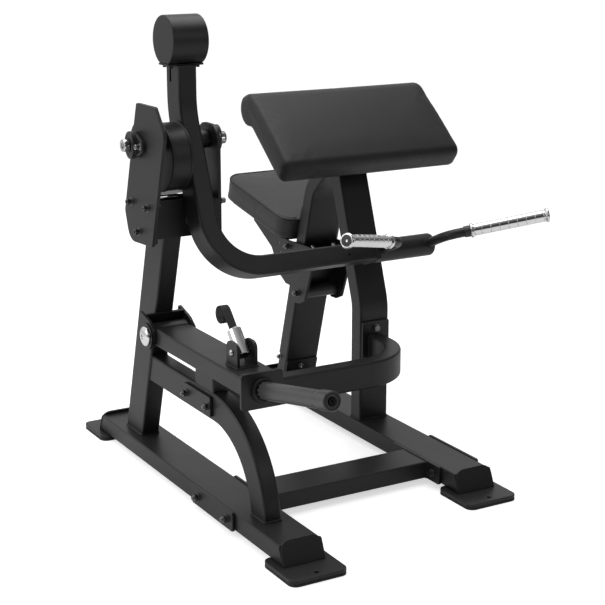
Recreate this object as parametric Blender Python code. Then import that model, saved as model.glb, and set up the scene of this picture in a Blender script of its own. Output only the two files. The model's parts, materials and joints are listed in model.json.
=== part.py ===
# Plate-loaded biceps machine, in metres. +Z is up, the user faces -Y, and +X is to the user's left.
# While it is modelled, X = 0 is the middle of the left base beam, Y = 0 and Z = pivot_height is the
# axis of the exercise arm, and Z = 0 is the floor. The root empty then moves the floor point under
# the middle of the machine to the origin.

from math import acos, atan2, cos, hypot, pi, radians, sin, tan

import bmesh
import bpy
from mathutils import Matrix, Vector

# Clearances
rest_gap = 0.0003
running_clearance = 0.00005
hole_clearance = 0.0003
side_play = 0.001

# Tubes
beam_width = 0.120
beam_height = 0.050
tube_wall = 0.003
weld_overlap = 0.001
vent_radius = 0.008
tube_corner = 0.005

# Base
rubber_height = 0.007
foot_plate_thickness = 0.010
foot_width = 0.164
foot_length = 0.156
foot_corner = 0.022
foot_overhang = 0.078
foot_hole_radius = 0.006
foot_hole_inset = 0.024
base_length = 1.183
base_front = -0.715
base_stagger = 0.173
module_spacing = 0.657
cap_lean = radians(23)
cap_thickness = 0.006
cap_rise = 0.012
cap_corner = 0.028
cross_beam_y = -0.332
flange_thickness = 0.008
flange_length = 0.240
flange_margin = 0.0015
flange_corner = 0.006
bolt_pitch = 0.170
bolt_radius = 0.006

# Rear post and pivot head
pivot_height = 0.980
post_width = 0.056
post_depth = 0.110
post_foot_y = 0.2685
post_top_y = 0.0775
post_start = 0.050
head_drop = 0.158
head_height = 0.106
head_front = -0.016
head_shoulder_y = 0.066
head_rear = 0.138
head_rear_width = 0.100
head_wall = 0.006
lug_thickness = 0.012
lug_front = -0.068
head_bolts = [(0.049, -0.164), (-0.057, -0.165), (0.003, -0.240)]
plate_spread = 0.198
plate_thickness = 0.010
tie_rod_y = 0.002
tie_rod_radius = 0.007
bumper_drop = 0.214
bumper_radius = 0.022

# Exercise arm
shaft_radius = 0.0175
shaft_overhang = 0.044
bearing_height = 0.075
bearing_boss_width = 0.056
bearing_boss_length = 0.026
bearing_flange_thickness = 0.011
bearing_screw_reach = 0.041
bearing_ear_radius = 0.013
screw_hole = 0.0033
arm_width = 0.055
arm_depth = 0.082
arm_x = 0.041
arm_offset = 0.031
arm_lean = radians(22)
arm_reach = 0.372
arm_rise = 0.204
arm_kink_radius = 0.250
arm_bend_radius = 0.146
arm_end_x = 0.547
end_plate_thickness = 0.010
end_plate_margin = 0.003
hub_length = 0.203
hub_radius = 0.033
hub_wall_end = 0.014
hub_round = 0.010
spindle_radius = 0.0125
cam_radius = 0.095
cam_width = 0.061
cam_drop = 0.040
cam_wall = 0.008
arm_hub_radius = 0.025
weight_radius = 0.068
weight_length = 0.107
weight_flat_drop = 0.062
weight_chamfer = 0.003
weight_screw_pitch = 0.040
weight_screw_depth = 0.022
weight_plate_depth = 0.066
arm_slot_length = 0.052
arm_slot_width = 0.010
arm_slot_shift = 0.012
weight_plate_thickness = 0.005

# Handle bar and grips, in a plane that passes through the hub's axis
handle_tilt = radians(23.4)
bar_radius = 0.014
bar_spread = 0.080
bar_bend_radius = 0.060
grip_start_spread = 0.139
grip_start_reach = 0.157
grip_end_spread = 0.341
grip_end_reach = 0.268
grip_radius = 0.0175
grip_groove_depth = 0.0012
grip_groove_width = 0.003
grip_groove_pitch = 0.026
grip_sides = 16
collar_radius = 0.0215
collar_length = 0.010
grip_cap_radius = 0.0215
grip_cap_length = 0.012
grip_cap_chamfer = 0.003
grip_cap_recess = 0.013

# Weight lever
lever_pivot_y = 0.067
lever_pivot_z = 0.420
lever_width = 0.110
lever_middle_z = 0.422
lever_front = -0.488
barrel_radius = 0.034
pin_radius = 0.0125
cheek_reach = 0.038
bracket_thickness = 0.008
bracket_drop = 0.042
bracket_rise = 0.064
bracket_lap = 0.030
pin_cap_radius = 0.0285
pin_cap_height = 0.013
washer_radius = 0.038
washer_thickness = 0.004
front_plate_thickness = 0.010
front_plate_width = 0.122
front_plate_height = 0.098
front_plate_bottom = 0.360
horn_tilt = radians(11.7)
horn_length = 0.352
horn_flange_radius = 0.033
horn_flange_thickness = 0.008
horn_sleeve_radius = 0.0235
horn_core_radius = 0.015
crown_teeth = 12
crown_depth = 0.010
collar_end_length = 0.062
collar_end_radius = 0.0255
collar_end_taper = 0.006
ear_width = 0.062
ear_height = 0.066
ear_thickness = 0.008
ear_gap = 0.044
clevis_y = -0.386
clevis_pin_rise = 0.037
clevis_pin_radius = 0.005
anchor_radius = 0.019
anchor_length = 0.078
anchor_tail = 0.014
strap_width = 0.020
strap_thickness = 0.003
strap_run = 0.060
strap_rise = radians(47)
roll_turns = 3.5
roll_pitch = 0.0048
roll_core = 0.006

# Arch brace, crossbar and pad post
arch_width = 0.050
arch_height = 0.080
arch_radius = 0.250
arch_top = 0.337
arch_front = -0.552
arch_plate_length = 0.162
arch_plate_height = 0.056
stop_block_length = 0.110
stop_pad_height = 0.008
crossbar_y = -0.213
crossbar_depth = 0.050
crossbar_bend_radius = 0.160
post_flange_height = 0.170
pad_post_front = -0.001
pad_post_width = 0.100
pad_post_depth = 0.055
pad_post_kink_z = 0.430
pad_post_lean = radians(19)
pad_post_kink_radius = 0.150

# Seat leg, rail and carriage
leg_front = 0.463
leg_depth = 0.050
leg_lean = radians(16.1)
leg_kink_z = 0.740
leg_top_lean = radians(47)
leg_kink_radius = 0.120
rail_width = 0.110
rail_thickness = 0.006
rail_stand_off = 0.003
rail_low = 0.075
rail_high = 0.620
cheek_thickness = 0.008
cheek_clearance = 0.005
roller_radius = 0.0225
rear_roller_radius = 0.012
roller_shaft_radius = 0.006
front_roller_along = 0.352
rear_roller_along = 0.474
carriage_travel = 0.160
carriage_block_along = 0.480
carriage_block_off = -0.040
carriage_block_depth = 0.040
carriage_block_height = 0.034
cheek_corners = [(0.5306, -0.0509, 0.004), (0.4661, -0.0799, 0.010), (0.3454, -0.0689, 0.012),
                 (0.3218, -0.0414, 0.010), (0.3114, -0.0090, 0.010), (0.3513, 0.0296, 0.008),
                 (0.3448, 0.0558, 0.008), (0.3548, 0.1003, 0.012), (0.4177, 0.1747, 0.012),
                 (0.4485, 0.3095, 0.010)]

# Seat and arm pad
seat_width = 0.294
seat_front_width = 0.209
seat_length = 0.362
seat_thickness = 0.071
seat_front_y = 0.366
seat_top_z = 0.6345
seat_corner = 0.058
seat_crown = 0.004
seat_foot_rise = 0.003
seat_foot_inset = 0.001
board_thickness = 0.012
board_inset = 0.020
pad_width = 0.612
pad_length = 0.308
pad_tilt = radians(39)
pad_low_y = 0.0372
pad_low_z = 0.8288
pad_roll_radius = 0.041
pad_roll_offset = 0.024
pad_edge_radius = 0.022
pad_low_radius = 0.008
pad_end_radius = 0.016
pad_crown = 0.003
pad_plate_width = 0.300
pad_plate_length = 0.176
pad_plate_along = 0.132
pad_plate_thickness = 0.008
pad_screw_inset = 0.018
pad_screw_hole = 0.0043
pad_block_width = 0.090
pad_block_start = 0.150
pad_block_length = 0.074
pad_block_thickness = 0.012
strut_radius = 0.0095
strut_rod_radius = 0.005
strut_length = 0.230
strut_top_along = 0.690
strut_body_start = 0.135
strut_stud_along = 0.085
strut_stud_radius = 0.005

# Heights and places that follow from the sizes above
beam_bottom = rubber_height + foot_plate_thickness + rest_gap
beam_top = beam_bottom + beam_height
beam_middle = beam_bottom + beam_height / 2
deck = beam_top + rest_gap
handle_x = arm_end_x + end_plate_thickness - weld_overlap + rest_gap + hub_length / 2
plate_inner = plate_spread / 2
plate_outer = plate_inner + plate_thickness
lever_top = lever_middle_z + beam_height / 2
lever_bottom = lever_middle_z - beam_height / 2
head_top = pivot_height - head_drop
head_bottom = head_top - head_height
tie_rod_z = head_top + tie_rod_radius
arm_top = pivot_height + arm_rise
seat_tilt = leg_lean
post_lean = atan2(post_foot_y - post_top_y, head_bottom - beam_top)
pad_thickness = pad_roll_offset + pad_roll_radius

X = Vector((1, 0, 0))
Y = Vector((0, 1, 0))
Z = Vector((0, 0, 1))
pivot = Vector((0, 0, pivot_height))
lever_pivot = Vector((0, lever_pivot_y, lever_pivot_z))


# Scene and finishes

def clear_scene():
    for item in list(bpy.data.objects):
        bpy.data.objects.remove(item, do_unlink=True)


def make_root():
    empty = bpy.data.objects.new("root", None)
    bpy.context.scene.collection.objects.link(empty)
    return empty


def finish(name, colour, roughness, metallic):
    made = bpy.data.materials.new(name)
    made.use_nodes = True
    shader = made.node_tree.nodes["Principled BSDF"]
    shader.inputs["Base Color"].default_value = (*colour, 1)
    shader.inputs["Roughness"].default_value = roughness
    shader.inputs["Metallic"].default_value = metallic
    return made


def make_finishes():
    return {
        "coat": finish("black powder coat", (0.020, 0.020, 0.021), 0.42, 0.0),
        "vinyl": finish("black grained vinyl", (0.018, 0.018, 0.019), 0.48, 0.0),
        "chrome": finish("chrome", (0.78, 0.78, 0.79), 0.12, 1.0),
        "oxide": finish("black oxide steel", (0.030, 0.030, 0.032), 0.30, 0.9),
        "rubber": finish("black rubber", (0.014, 0.014, 0.014), 0.75, 0.0),
        "nylon": finish("dark grey nylon", (0.060, 0.060, 0.062), 0.45, 0.0),
        "webbing": finish("black webbing", (0.016, 0.016, 0.017), 0.70, 0.0),
        "board": finish("black painted board", (0.016, 0.016, 0.016), 0.60, 0.0),
    }


# Frames and outlines

def frame_at(origin, side, along):
    """Matrix whose X column is side, Z column is along and Y column completes them."""
    w = Vector(along).normalized()
    u = Vector(side).normalized()
    u = (u - w * u.dot(w)).normalized()
    v = w.cross(u)
    matrix = Matrix((u, v, w)).transposed().to_4x4()
    matrix.translation = Vector(origin)
    return matrix


def rounded(corners, steps=3):
    """Outline through corners given as (u, v, radius), each rounded by an arc."""
    points = []
    count = len(corners)
    for index, (u, v, radius) in enumerate(corners):
        here = Vector((u, v))
        before = Vector(corners[index - 1][:2]) - here
        after = Vector(corners[(index + 1) % count][:2]) - here
        if radius <= 0:
            points.append(here)
            continue
        before_dir = before.normalized()
        after_dir = after.normalized()
        half = acos(max(-1, min(1, before_dir.dot(after_dir)))) / 2
        reach = radius / tan(half)
        centre = here + (before_dir + after_dir).normalized() * (radius / sin(half))
        first = here + before_dir * reach - centre
        last = here + after_dir * reach - centre
        turn = atan2(first.x * last.y - first.y * last.x, first.dot(last))
        for step in range(steps + 1):
            angle = turn * step / steps
            points.append(centre + Matrix.Rotation(angle, 2) @ first)
    return points


def rectangle(width, height, radius=0.0, steps=2):
    u = width / 2
    v = height / 2
    return rounded([(-u, -v, radius), (u, -v, radius), (u, v, radius), (-u, v, radius)], steps)


def circle(radius, steps):
    return [Vector((radius * cos(2 * pi * i / steps), radius * sin(2 * pi * i / steps))) for i in range(steps)]


def follow(start, moves):
    """Frames along a path: ('go', length) or ('turn', radius, angle, direction in the section)."""
    frames = [start.copy()]
    here = start.copy()
    for move in moves:
        if move[0] == "go":
            here = here @ Matrix.Translation((0, 0, move[1]))
            frames.append(here.copy())
            continue
        _, radius, angle, (u, v), steps = move
        centre = here @ Vector((radius * u, radius * v, 0))
        axis = here.to_3x3() @ Vector((-v, u, 0))
        for _ in range(steps):
            part = Matrix.Rotation(angle / steps, 4, axis)
            shift = Matrix.Translation(centre) @ part @ Matrix.Translation(-centre)
            here = shift @ here
            frames.append(here.copy())
    return frames


# Solids

def finish_mesh(name, bm, look, smooth):
    bmesh.ops.recalc_face_normals(bm, faces=bm.faces)
    mesh = bpy.data.meshes.new(name)
    bm.to_mesh(mesh)
    bm.free()
    if smooth:
        mesh.shade_smooth()
        mesh.set_sharp_from_angle(angle=radians(35))
    if look:
        mesh.materials.append(look)
    made = bpy.data.objects.new(name, mesh)
    bpy.context.scene.collection.objects.link(made)
    made.parent = root
    return made


def slide_onto(verts, direction, plane):
    """Slides vertices along direction onto a plane given as (point, normal)."""
    point, normal = plane
    for vert in verts:
        vert.co += direction * ((point - vert.co).dot(normal) / direction.dot(normal))


def section_faces(bm, outer, inner):
    ring = [bm.verts.new((p.x, p.y, 0)) for p in outer]
    if not inner:
        return [bm.faces.new(ring)]
    hollow = [bm.verts.new((p.x, p.y, 0)) for p in inner]
    count = len(ring)
    faces = []
    for i in range(count):
        j = (i + 1) % count
        faces.append(bm.faces.new((ring[i], ring[j], hollow[j], hollow[i])))
    return faces


def swept_mesh(outer, inner, frames, start_plane=None, end_plane=None):
    bm = bmesh.new()
    faces = section_faces(bm, outer, inner)
    bmesh.ops.transform(bm, matrix=frames[0], verts=bm.verts)
    sections = [list(bm.verts)]
    for before, after in zip(frames, frames[1:]):
        edges = {edge for face in faces for edge in face.edges}
        made = bmesh.ops.extrude_face_region(bm, geom=faces + list(edges))
        verts = [item for item in made["geom"] if isinstance(item, bmesh.types.BMVert)]
        faces = [item for item in made["geom"] if isinstance(item, bmesh.types.BMFace)]
        bmesh.ops.transform(bm, matrix=after @ before.inverted(), verts=verts)
        sections.append(verts)
    if start_plane:
        slide_onto(sections[0], frames[0].col[2].to_3d(), start_plane)
    if end_plane:
        slide_onto(sections[-1], frames[-1].col[2].to_3d(), end_plane)
    return bm


def tube(name, outer, inner, frames, look, start_plane=None, end_plane=None, smooth=True):
    return finish_mesh(name, swept_mesh(outer, inner, frames, start_plane, end_plane), look, smooth)


def box_tube(name, width, height, frames, look, start_plane=None, end_plane=None, wall=None):
    """Hollow rectangular tube with rounded corners along the frames."""
    wall = wall or tube_wall
    outer = rectangle(width, height, tube_corner, 1)
    inner = rectangle(width - 2 * wall, height - 2 * wall, tube_corner / 2, 1)
    return tube(name, outer, inner, frames, look, start_plane, end_plane)


def plate_mesh(outline, thickness, frame):
    return swept_mesh(outline, None, [frame, frame @ Matrix.Translation((0, 0, thickness))])


def plate(name, outline, thickness, frame, look, smooth=True):
    return finish_mesh(name, plate_mesh(outline, thickness, frame), look, smooth)


def turned_mesh(profile, frame, steps=20, closed=False):
    """Revolves a profile of (radius, distance along) about the frame's Z axis."""
    bm = bmesh.new()
    verts = [bm.verts.new((radius, 0, along)) for radius, along in profile]
    edges = [bm.edges.new(pair) for pair in zip(verts, verts[1:])]
    if closed:
        edges.append(bm.edges.new((verts[-1], verts[0])))
    bmesh.ops.spin(bm, geom=verts + edges, cent=(0, 0, 0), axis=(0, 0, 1), angle=2 * pi, steps=steps)
    bmesh.ops.remove_doubles(bm, verts=bm.verts, dist=1e-6)
    bmesh.ops.transform(bm, matrix=frame, verts=bm.verts)
    return bm


def turned(name, profile, frame, look, steps=20, closed=False):
    return finish_mesh(name, turned_mesh(profile, frame, steps, closed), look, True)


def merge_meshes(parts):
    """One mesh holding separate bodies."""
    whole = bmesh.new()
    for part in parts:
        piece = bpy.data.meshes.new("piece")
        bmesh.ops.recalc_face_normals(part, faces=part.faces)
        part.to_mesh(piece)
        part.free()
        whole.from_mesh(piece)
        bpy.data.meshes.remove(piece)
    return whole


def combine(body, bm, operation):
    """Boolean of a body with a helper mesh, which may hold several separate shapes."""
    tool = finish_mesh(body.name + "_tool", bm, None, False)
    tool.hide_render = True
    tool.display_type = "WIRE"
    step = body.modifiers.new(operation.lower(), "BOOLEAN")
    step.operation = operation
    step.solver = "EXACT"
    step.object = tool
    return body


def rod_mesh(start, end, radius, steps=16):
    along = Vector(end) - Vector(start)
    side = Z if abs(along.normalized().z) < 0.9 else X
    return plate_mesh(circle(radius, steps), along.length, frame_at(start, side, along))


def drill(body, holes, steps=16):
    """Cuts round holes given as (start, end, radius)."""
    return combine(body, merge_meshes([rod_mesh(a, b, r, steps) for a, b, r in holes]), "DIFFERENCE")


def bore_over(radius, steps=20):
    """Corner radius of a faceted bore whose flats clear a shaft that turns in it."""
    return (radius + running_clearance) / cos(pi / steps)


def shaft_bolt_profile(length, shank, head):
    """Half outline of a bolt from its head to the nut at the far end of its grip."""
    height = shank * 1.2
    rim = head * 1.25
    collar = shank * 0.3
    return [(0, -height), (head * 0.9, -height), (head, -height * 0.85), (head, -collar), (rim, -collar), (rim, 0),
            (shank, 0), (shank, length), (rim, length), (rim, length + collar), (head, length + collar),
            (head, length + height), (0, length + height)]


def set_origin(body, point):
    """Puts an object's origin on a point, with its shape left in place."""
    body.data.transform(Matrix.Translation(-Vector(point)))
    body.location = Vector(point)
    return body


# Base

def foot_places(side):
    """Middles of the front and rear feet of one base beam, with the way that each one points."""
    front = base_front + side * base_stagger - foot_overhang + foot_length / 2
    rear = base_front + side * base_stagger + base_length + foot_overhang - foot_length / 2
    return [(side * module_spacing, front, -1), (side * module_spacing, rear, 1)]


def foot_hole(x, y, way):
    hole = Vector((x, y + way * (foot_length / 2 - foot_hole_inset), 0))
    return hole - Z * 0.01, hole + Z * 0.03, foot_hole_radius


def build_foot_pads():
    outline = rectangle(foot_width, foot_length, foot_corner, 3)
    for side, side_name in ((0, "left"), (1, "right")):
        for x, y, way in foot_places(side):
            end_name = "front" if way < 0 else "rear"
            pad = plate(f"foot_pad_{end_name}_{side_name}", outline, rubber_height, frame_at((x, y, 0), X, Z),
                        look["rubber"])
            drill(pad, [foot_hole(x, y, way)])


def cap_outline():
    height = (beam_height + cap_rise) / cos(cap_lean)
    u = beam_width / 2
    return rounded([(-u, 0, 0.003), (u, 0, 0.003), (u, height, cap_corner), (-u, height, cap_corner)], 4)


def end_cap_mesh(x, y, way):
    """Slanted end plate of a base beam, taller than the beam, its outer face low edge at y."""
    inward = Vector((0, -way * cos(cap_lean), -sin(cap_lean)))
    frame = frame_at((x, y, beam_bottom), X * way, inward)
    if frame.col[1].z < 0:
        frame = frame_at((x, y, beam_bottom), -X * way, inward)
    return plate_mesh(cap_outline(), cap_thickness, frame)


def cross_bolt_ys():
    return [cross_beam_y - bolt_pitch / 2, cross_beam_y + bolt_pitch / 2]


def build_base_beams():
    """Each base beam is welded up from a tube, two slanted end plates and two foot plates."""
    foot_outline = rectangle(foot_width, foot_length, foot_corner, 3)
    for side, side_name in ((0, "left"), (1, "right")):
        x = side * module_spacing
        front = base_front + side * base_stagger
        rear = front + base_length
        slant = cap_thickness / cos(cap_lean) - weld_overlap
        start_plane = (Vector((x, front + slant, beam_bottom)), Vector((0, -cos(cap_lean), sin(cap_lean))))
        end_plane = (Vector((x, rear - slant, beam_bottom)), Vector((0, cos(cap_lean), sin(cap_lean))))
        start = frame_at((x, front + 0.05, beam_middle), X, Y)
        frames = follow(start, [("go", base_length - 0.10)])
        beam = box_tube(f"base_beam_{side_name}", beam_width, beam_height, frames, look["coat"],
                        start_plane, end_plane)
        caps = [end_cap_mesh(x, front, -1), end_cap_mesh(x, rear, 1)]
        combine(beam, merge_meshes(caps), "UNION")
        bottom = rubber_height + rest_gap
        feet = [plate_mesh(foot_outline, foot_plate_thickness + weld_overlap, frame_at((foot_x, y, bottom), X, Z))
                for foot_x, y, _ in foot_places(side)]
        combine(beam, merge_meshes(feet), "UNION")
        drill(beam, [foot_hole(*place) for place in foot_places(side)])
        out = beam_width
        drill(beam, [((x - out, y, beam_middle), (x + out, y, beam_middle), bolt_radius + hole_clearance)
                     for y in cross_bolt_ys()], 8)


def build_cross_beam():
    low = beam_width / 2 + rest_gap
    high = module_spacing - low
    frames = follow(frame_at((low + flange_thickness - weld_overlap, cross_beam_y, beam_middle), Y, X),
                    [("go", high - low - 2 * (flange_thickness - weld_overlap))])
    beam = box_tube("cross_beam", beam_width, beam_height, frames, look["coat"])
    outline = rectangle(flange_length, beam_height + 2 * flange_margin, flange_corner)
    flanges = []
    for x in (low, high - flange_thickness):
        flanges.append(plate_mesh(outline, flange_thickness, frame_at((x, cross_beam_y, beam_middle), Y, X)))
    combine(beam, merge_meshes(flanges), "UNION")
    radius = bolt_radius + hole_clearance
    cuts = []
    for y in cross_bolt_ys():
        cuts.append(((low - 0.01, y, beam_middle), (low + 0.03, y, beam_middle), radius))
        cuts.append(((high - 0.03, y, beam_middle), (high + 0.01, y, beam_middle), radius))
    cuts.append(((low - 0.01, cross_beam_y, beam_middle), (low + 0.02, cross_beam_y, beam_middle), vent_radius))
    drill(beam, cuts, 12)
    for side, way, side_name in ((0, -1, "left"), (1, 1, "right")):
        face = side * module_spacing + way * (beam_width / 2 + rest_gap)
        x = face if way > 0 else face - flange_thickness
        backing = plate(f"backing_plate_{side_name}", outline, flange_thickness,
                        frame_at((x, cross_beam_y, beam_middle), Y, X), look["coat"])
        holes = [((x - 0.01, y, beam_middle), (x + 0.02, y, beam_middle), radius) for y in cross_bolt_ys()]
        drill(backing, holes, 12)


# Rear post and pivot head

def post_direction():
    return Vector((0, -sin(post_lean), cos(post_lean)))


def post_front_y(z):
    return post_foot_y - post_depth / 2 / cos(post_lean) - (z - beam_top) * tan(post_lean)


def build_rear_post():
    along = post_direction()
    start = frame_at((0, post_foot_y, beam_top), X, along)
    straight = (head_bottom - beam_top) / cos(post_lean) - 2 * post_start
    frames = follow(start @ Matrix.Translation((0, 0, post_start)), [("go", straight)])
    box_tube("rear_post", post_width, post_depth, frames, look["coat"],
             (Vector((0, 0, deck)), Z), (Vector((0, 0, head_bottom - rest_gap)), Z))


def head_bolt_places():
    return [(y, pivot_height + rise) for y, rise in head_bolts]


def build_head_block():
    """Box on top of the rear post, tapered and open to the rear, with a lug along each front corner."""
    side = plate_inner - rest_gap
    inner = side - lug_thickness
    back = head_rear_width / 2
    outline = rounded([(-side, lug_front, 0), (-inner, lug_front, 0), (-inner, head_front, 0),
                       (inner, head_front, 0), (inner, lug_front, 0), (side, lug_front, 0),
                       (side, head_shoulder_y, 0), (back, head_rear, 0), (-back, head_rear, 0),
                       (-side, head_shoulder_y, 0)])
    block = plate("head_block", outline, head_height, frame_at((0, 0, head_bottom), X, Z), look["coat"], smooth=False)
    front = head_front + head_wall
    narrow = back - lug_thickness
    beyond = head_rear + head_wall
    hollow = rounded([(-inner, front, 0), (inner, front, 0), (inner, head_shoulder_y, 0), (narrow, head_rear, 0),
                      (narrow, beyond, 0), (-narrow, beyond, 0), (-narrow, head_rear, 0),
                      (-inner, head_shoulder_y, 0)])
    pocket = plate_mesh(hollow, head_height - 2 * head_wall, frame_at((0, 0, head_bottom + head_wall), X, Z))
    combine(block, pocket, "DIFFERENCE")
    radius = bolt_radius + hole_clearance
    cuts = [((-plate_spread, y, z), (plate_spread, y, z), radius) for y, z in head_bolt_places()]
    return drill(block, cuts, 12)


def plate_foot():
    """Lower end that both pivot plates share, as corners (y, rise above the axis, radius)."""
    return [(0.070, -0.277, 0.045), (0.098, -0.1955, 0.020), (0.050, -0.040, 0.020)]


def raised(corners):
    return rounded([(y, pivot_height + rise, radius) for y, rise, radius in corners], 4)


def left_plate_outline():
    return raised([(-0.078, -0.269, 0.010)] + plate_foot()
                  + [(0.057, 0.010, 0.040), (0.029, 0.046, 0.012), (0.021, 0.052, 0.006), (0.001, 0.112, 0.008),
                     (-0.116, 0.113, 0.010), (-0.1715, 0.0433, 0.030)])


def right_plate_outline():
    return raised([(-0.066, -0.269, 0.010)] + plate_foot() + [(0.057, 0.044, 0.040), (-0.066, 0.044, 0.046)])


def build_pivot_plates():
    bore = bore_over(shaft_radius + hole_clearance, 16)
    for way, side_name, outline in ((-1, "left", left_plate_outline()), (1, "right", right_plate_outline())):
        x = -plate_outer if way < 0 else plate_inner
        body = plate(f"pivot_plate_{side_name}", outline, plate_thickness, frame_at((x, 0, 0), Y, X), look["coat"])
        cuts = [((x - 0.01, y, z), (x + 0.02, y, z), bolt_radius + hole_clearance) for y, z in head_bolt_places()]
        cuts.append(((x - 0.01, 0, pivot_height), (x + 0.02, 0, pivot_height), bore))
        cuts.append(((x - 0.01, tie_rod_y, tie_rod_z), (x + 0.02, tie_rod_y, tie_rod_z),
                     tie_rod_radius + hole_clearance))
        drill(body, cuts, 16)
    turned("tie_rod", [(0, -plate_outer), (tie_rod_radius, -plate_outer), (tie_rod_radius, plate_outer),
                       (0, plate_outer)], frame_at((0, tie_rod_y, tie_rod_z), Z, X), look["chrome"], 16)


def oval(width, height, steps):
    return [Vector((width / 2 * cos(2 * pi * i / steps), height / 2 * sin(2 * pi * i / steps))) for i in range(steps)]


def build_bearings():
    """Oval housing with an ear to the front and one to the rear, bored for the shaft."""
    tip = bearing_screw_reach + bearing_ear_radius
    half = bearing_height / 2
    flange = rounded([(-tip, -bearing_ear_radius, bearing_ear_radius - 0.001), (0, -half, half * 0.8),
                      (tip, -bearing_ear_radius, bearing_ear_radius - 0.001),
                      (tip, bearing_ear_radius, bearing_ear_radius - 0.001), (0, half, half * 0.8),
                      (-tip, bearing_ear_radius, bearing_ear_radius - 0.001)], 4)
    for way, side_name in ((-1, "left"), (1, "right")):
        frame = frame_at((way * (plate_outer + rest_gap), 0, pivot_height), Y, X * way)
        body = plate(f"bearing_{side_name}", flange, bearing_flange_thickness, frame, look["oxide"])
        boss_start = bearing_flange_thickness / 2
        boss = plate_mesh(oval(bearing_boss_width, bearing_height, 32), bearing_boss_length - boss_start,
                          frame @ Matrix.Translation((0, 0, boss_start)))
        combine(body, boss, "UNION")
        reach = plate_outer + bearing_boss_length * 2
        inside = plate_inner - plate_thickness
        drill(body, [((way * inside, 0, pivot_height), (way * reach, 0, pivot_height), bore_over(shaft_radius))], 20)
        cuts = []
        for y in (-bearing_screw_reach, bearing_screw_reach):
            cuts.append(((way * inside, y, pivot_height), (way * reach, y, pivot_height), screw_hole))
        drill(body, cuts, 12)
        drill(bpy.data.objects[f"pivot_plate_{side_name}"], cuts, 12)


def build_rest_bumper():
    """Rubber stop on the front of the head block that the hanging arm rests on."""
    z = pivot_height - bumper_drop
    length = rest_bumper_length(z)
    rim = bumper_radius
    profile = [(0, 0), (rim - 0.002, 0), (rim, 0.003), (rim, length - 0.004), (rim - 0.004, length), (0, length)]
    frame = frame_at((arm_x, head_front - rest_gap, z), X, (0, -1, 0))
    turned("rest_bumper", profile, frame, look["rubber"], 24)


def rest_bumper_length(z):
    """Length from the head block to the slanted rear face of the arm, at the bumper's upper edge."""
    edge = z + bumper_radius - 0.004
    rear_face = -(pivot_height - edge) * tan(arm_lean) + arm_depth / 2 / cos(arm_lean)
    return head_front - rear_face - 2 * rest_gap


# Lever bracket, arch brace and crossbar

def build_lever_bracket():
    """Two cheeks on a web against the rear post, with the lever's barrel between them."""
    inner = lever_width / 2 + 2 * side_play
    low = lever_pivot_z - bracket_drop
    high = lever_pivot_z + bracket_rise
    front = lever_pivot_y - cheek_reach
    top = lever_pivot_z + cheek_reach
    bottom = lever_pivot_z - cheek_reach
    radius = cheek_reach - 0.002
    cheek = rounded([(post_front_y(low) + bracket_lap, low, 0.006), (post_front_y(high) + bracket_lap, high, 0.006),
                     (front, top, radius), (front, bottom, radius)], 5)
    bracket = plate("lever_bracket", cheek, bracket_thickness,
                    frame_at((-inner - bracket_thickness, 0, 0), Y, X), look["coat"])
    other = plate_mesh(cheek, bracket_thickness, frame_at((inner, 0, 0), Y, X))
    normal = Vector((0, cos(post_lean), sin(post_lean)))
    middle_z = (low + high) / 2
    middle = Vector((0, post_front_y(middle_z), middle_z)) - normal * rest_gap
    length = (high - low) / cos(post_lean) * 0.9
    web = plate_mesh(rectangle(2 * inner + bracket_thickness, length), bracket_thickness,
                     frame_at(middle, X, -normal))
    combine(bracket, merge_meshes([other]), "UNION")
    combine(bracket, web, "UNION")
    drill(bracket, [((-inner + 0.0005, lever_pivot_y, lever_pivot_z), (inner - 0.0005, lever_pivot_y, lever_pivot_z),
                     barrel_radius + 0.003)], 20)
    drill(bracket, [((-0.2, lever_pivot_y, lever_pivot_z), (0.2, lever_pivot_y, lever_pivot_z),
                     pin_radius + hole_clearance)], 20)
    face = inner + bracket_thickness + rest_gap
    for way, side_name in ((-1, "left"), (1, "right")):
        frame = frame_at((way * face, lever_pivot_y, lever_pivot_z), Z, X * way)
        bore = pin_radius + hole_clearance
        ring = [(bore, 0), (washer_radius, 0), (washer_radius, washer_thickness), (bore, washer_thickness)]
        turned(f"pin_washer_{side_name}", ring, frame, look["oxide"], closed=True)
    reach = face + washer_thickness + rest_gap
    dome = [(pin_radius, reach)]
    for step in range(5):
        angle = pi / 2 * step / 4
        dome.append((pin_cap_radius * cos(angle), reach + 0.003 + (pin_cap_height - 0.003) * sin(angle)))
    dome.insert(1, (pin_cap_radius, reach))
    profile = [(radius, -along_x) for radius, along_x in reversed(dome)] + dome
    turned("lever_pin", profile, frame_at(lever_pivot, Z, X), look["chrome"])


def arch_middle_z():
    return arch_top - arch_height / 2


def arch_bolt_places():
    middle = crossbar_y
    return [middle - 0.033, middle + 0.100]


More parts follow.
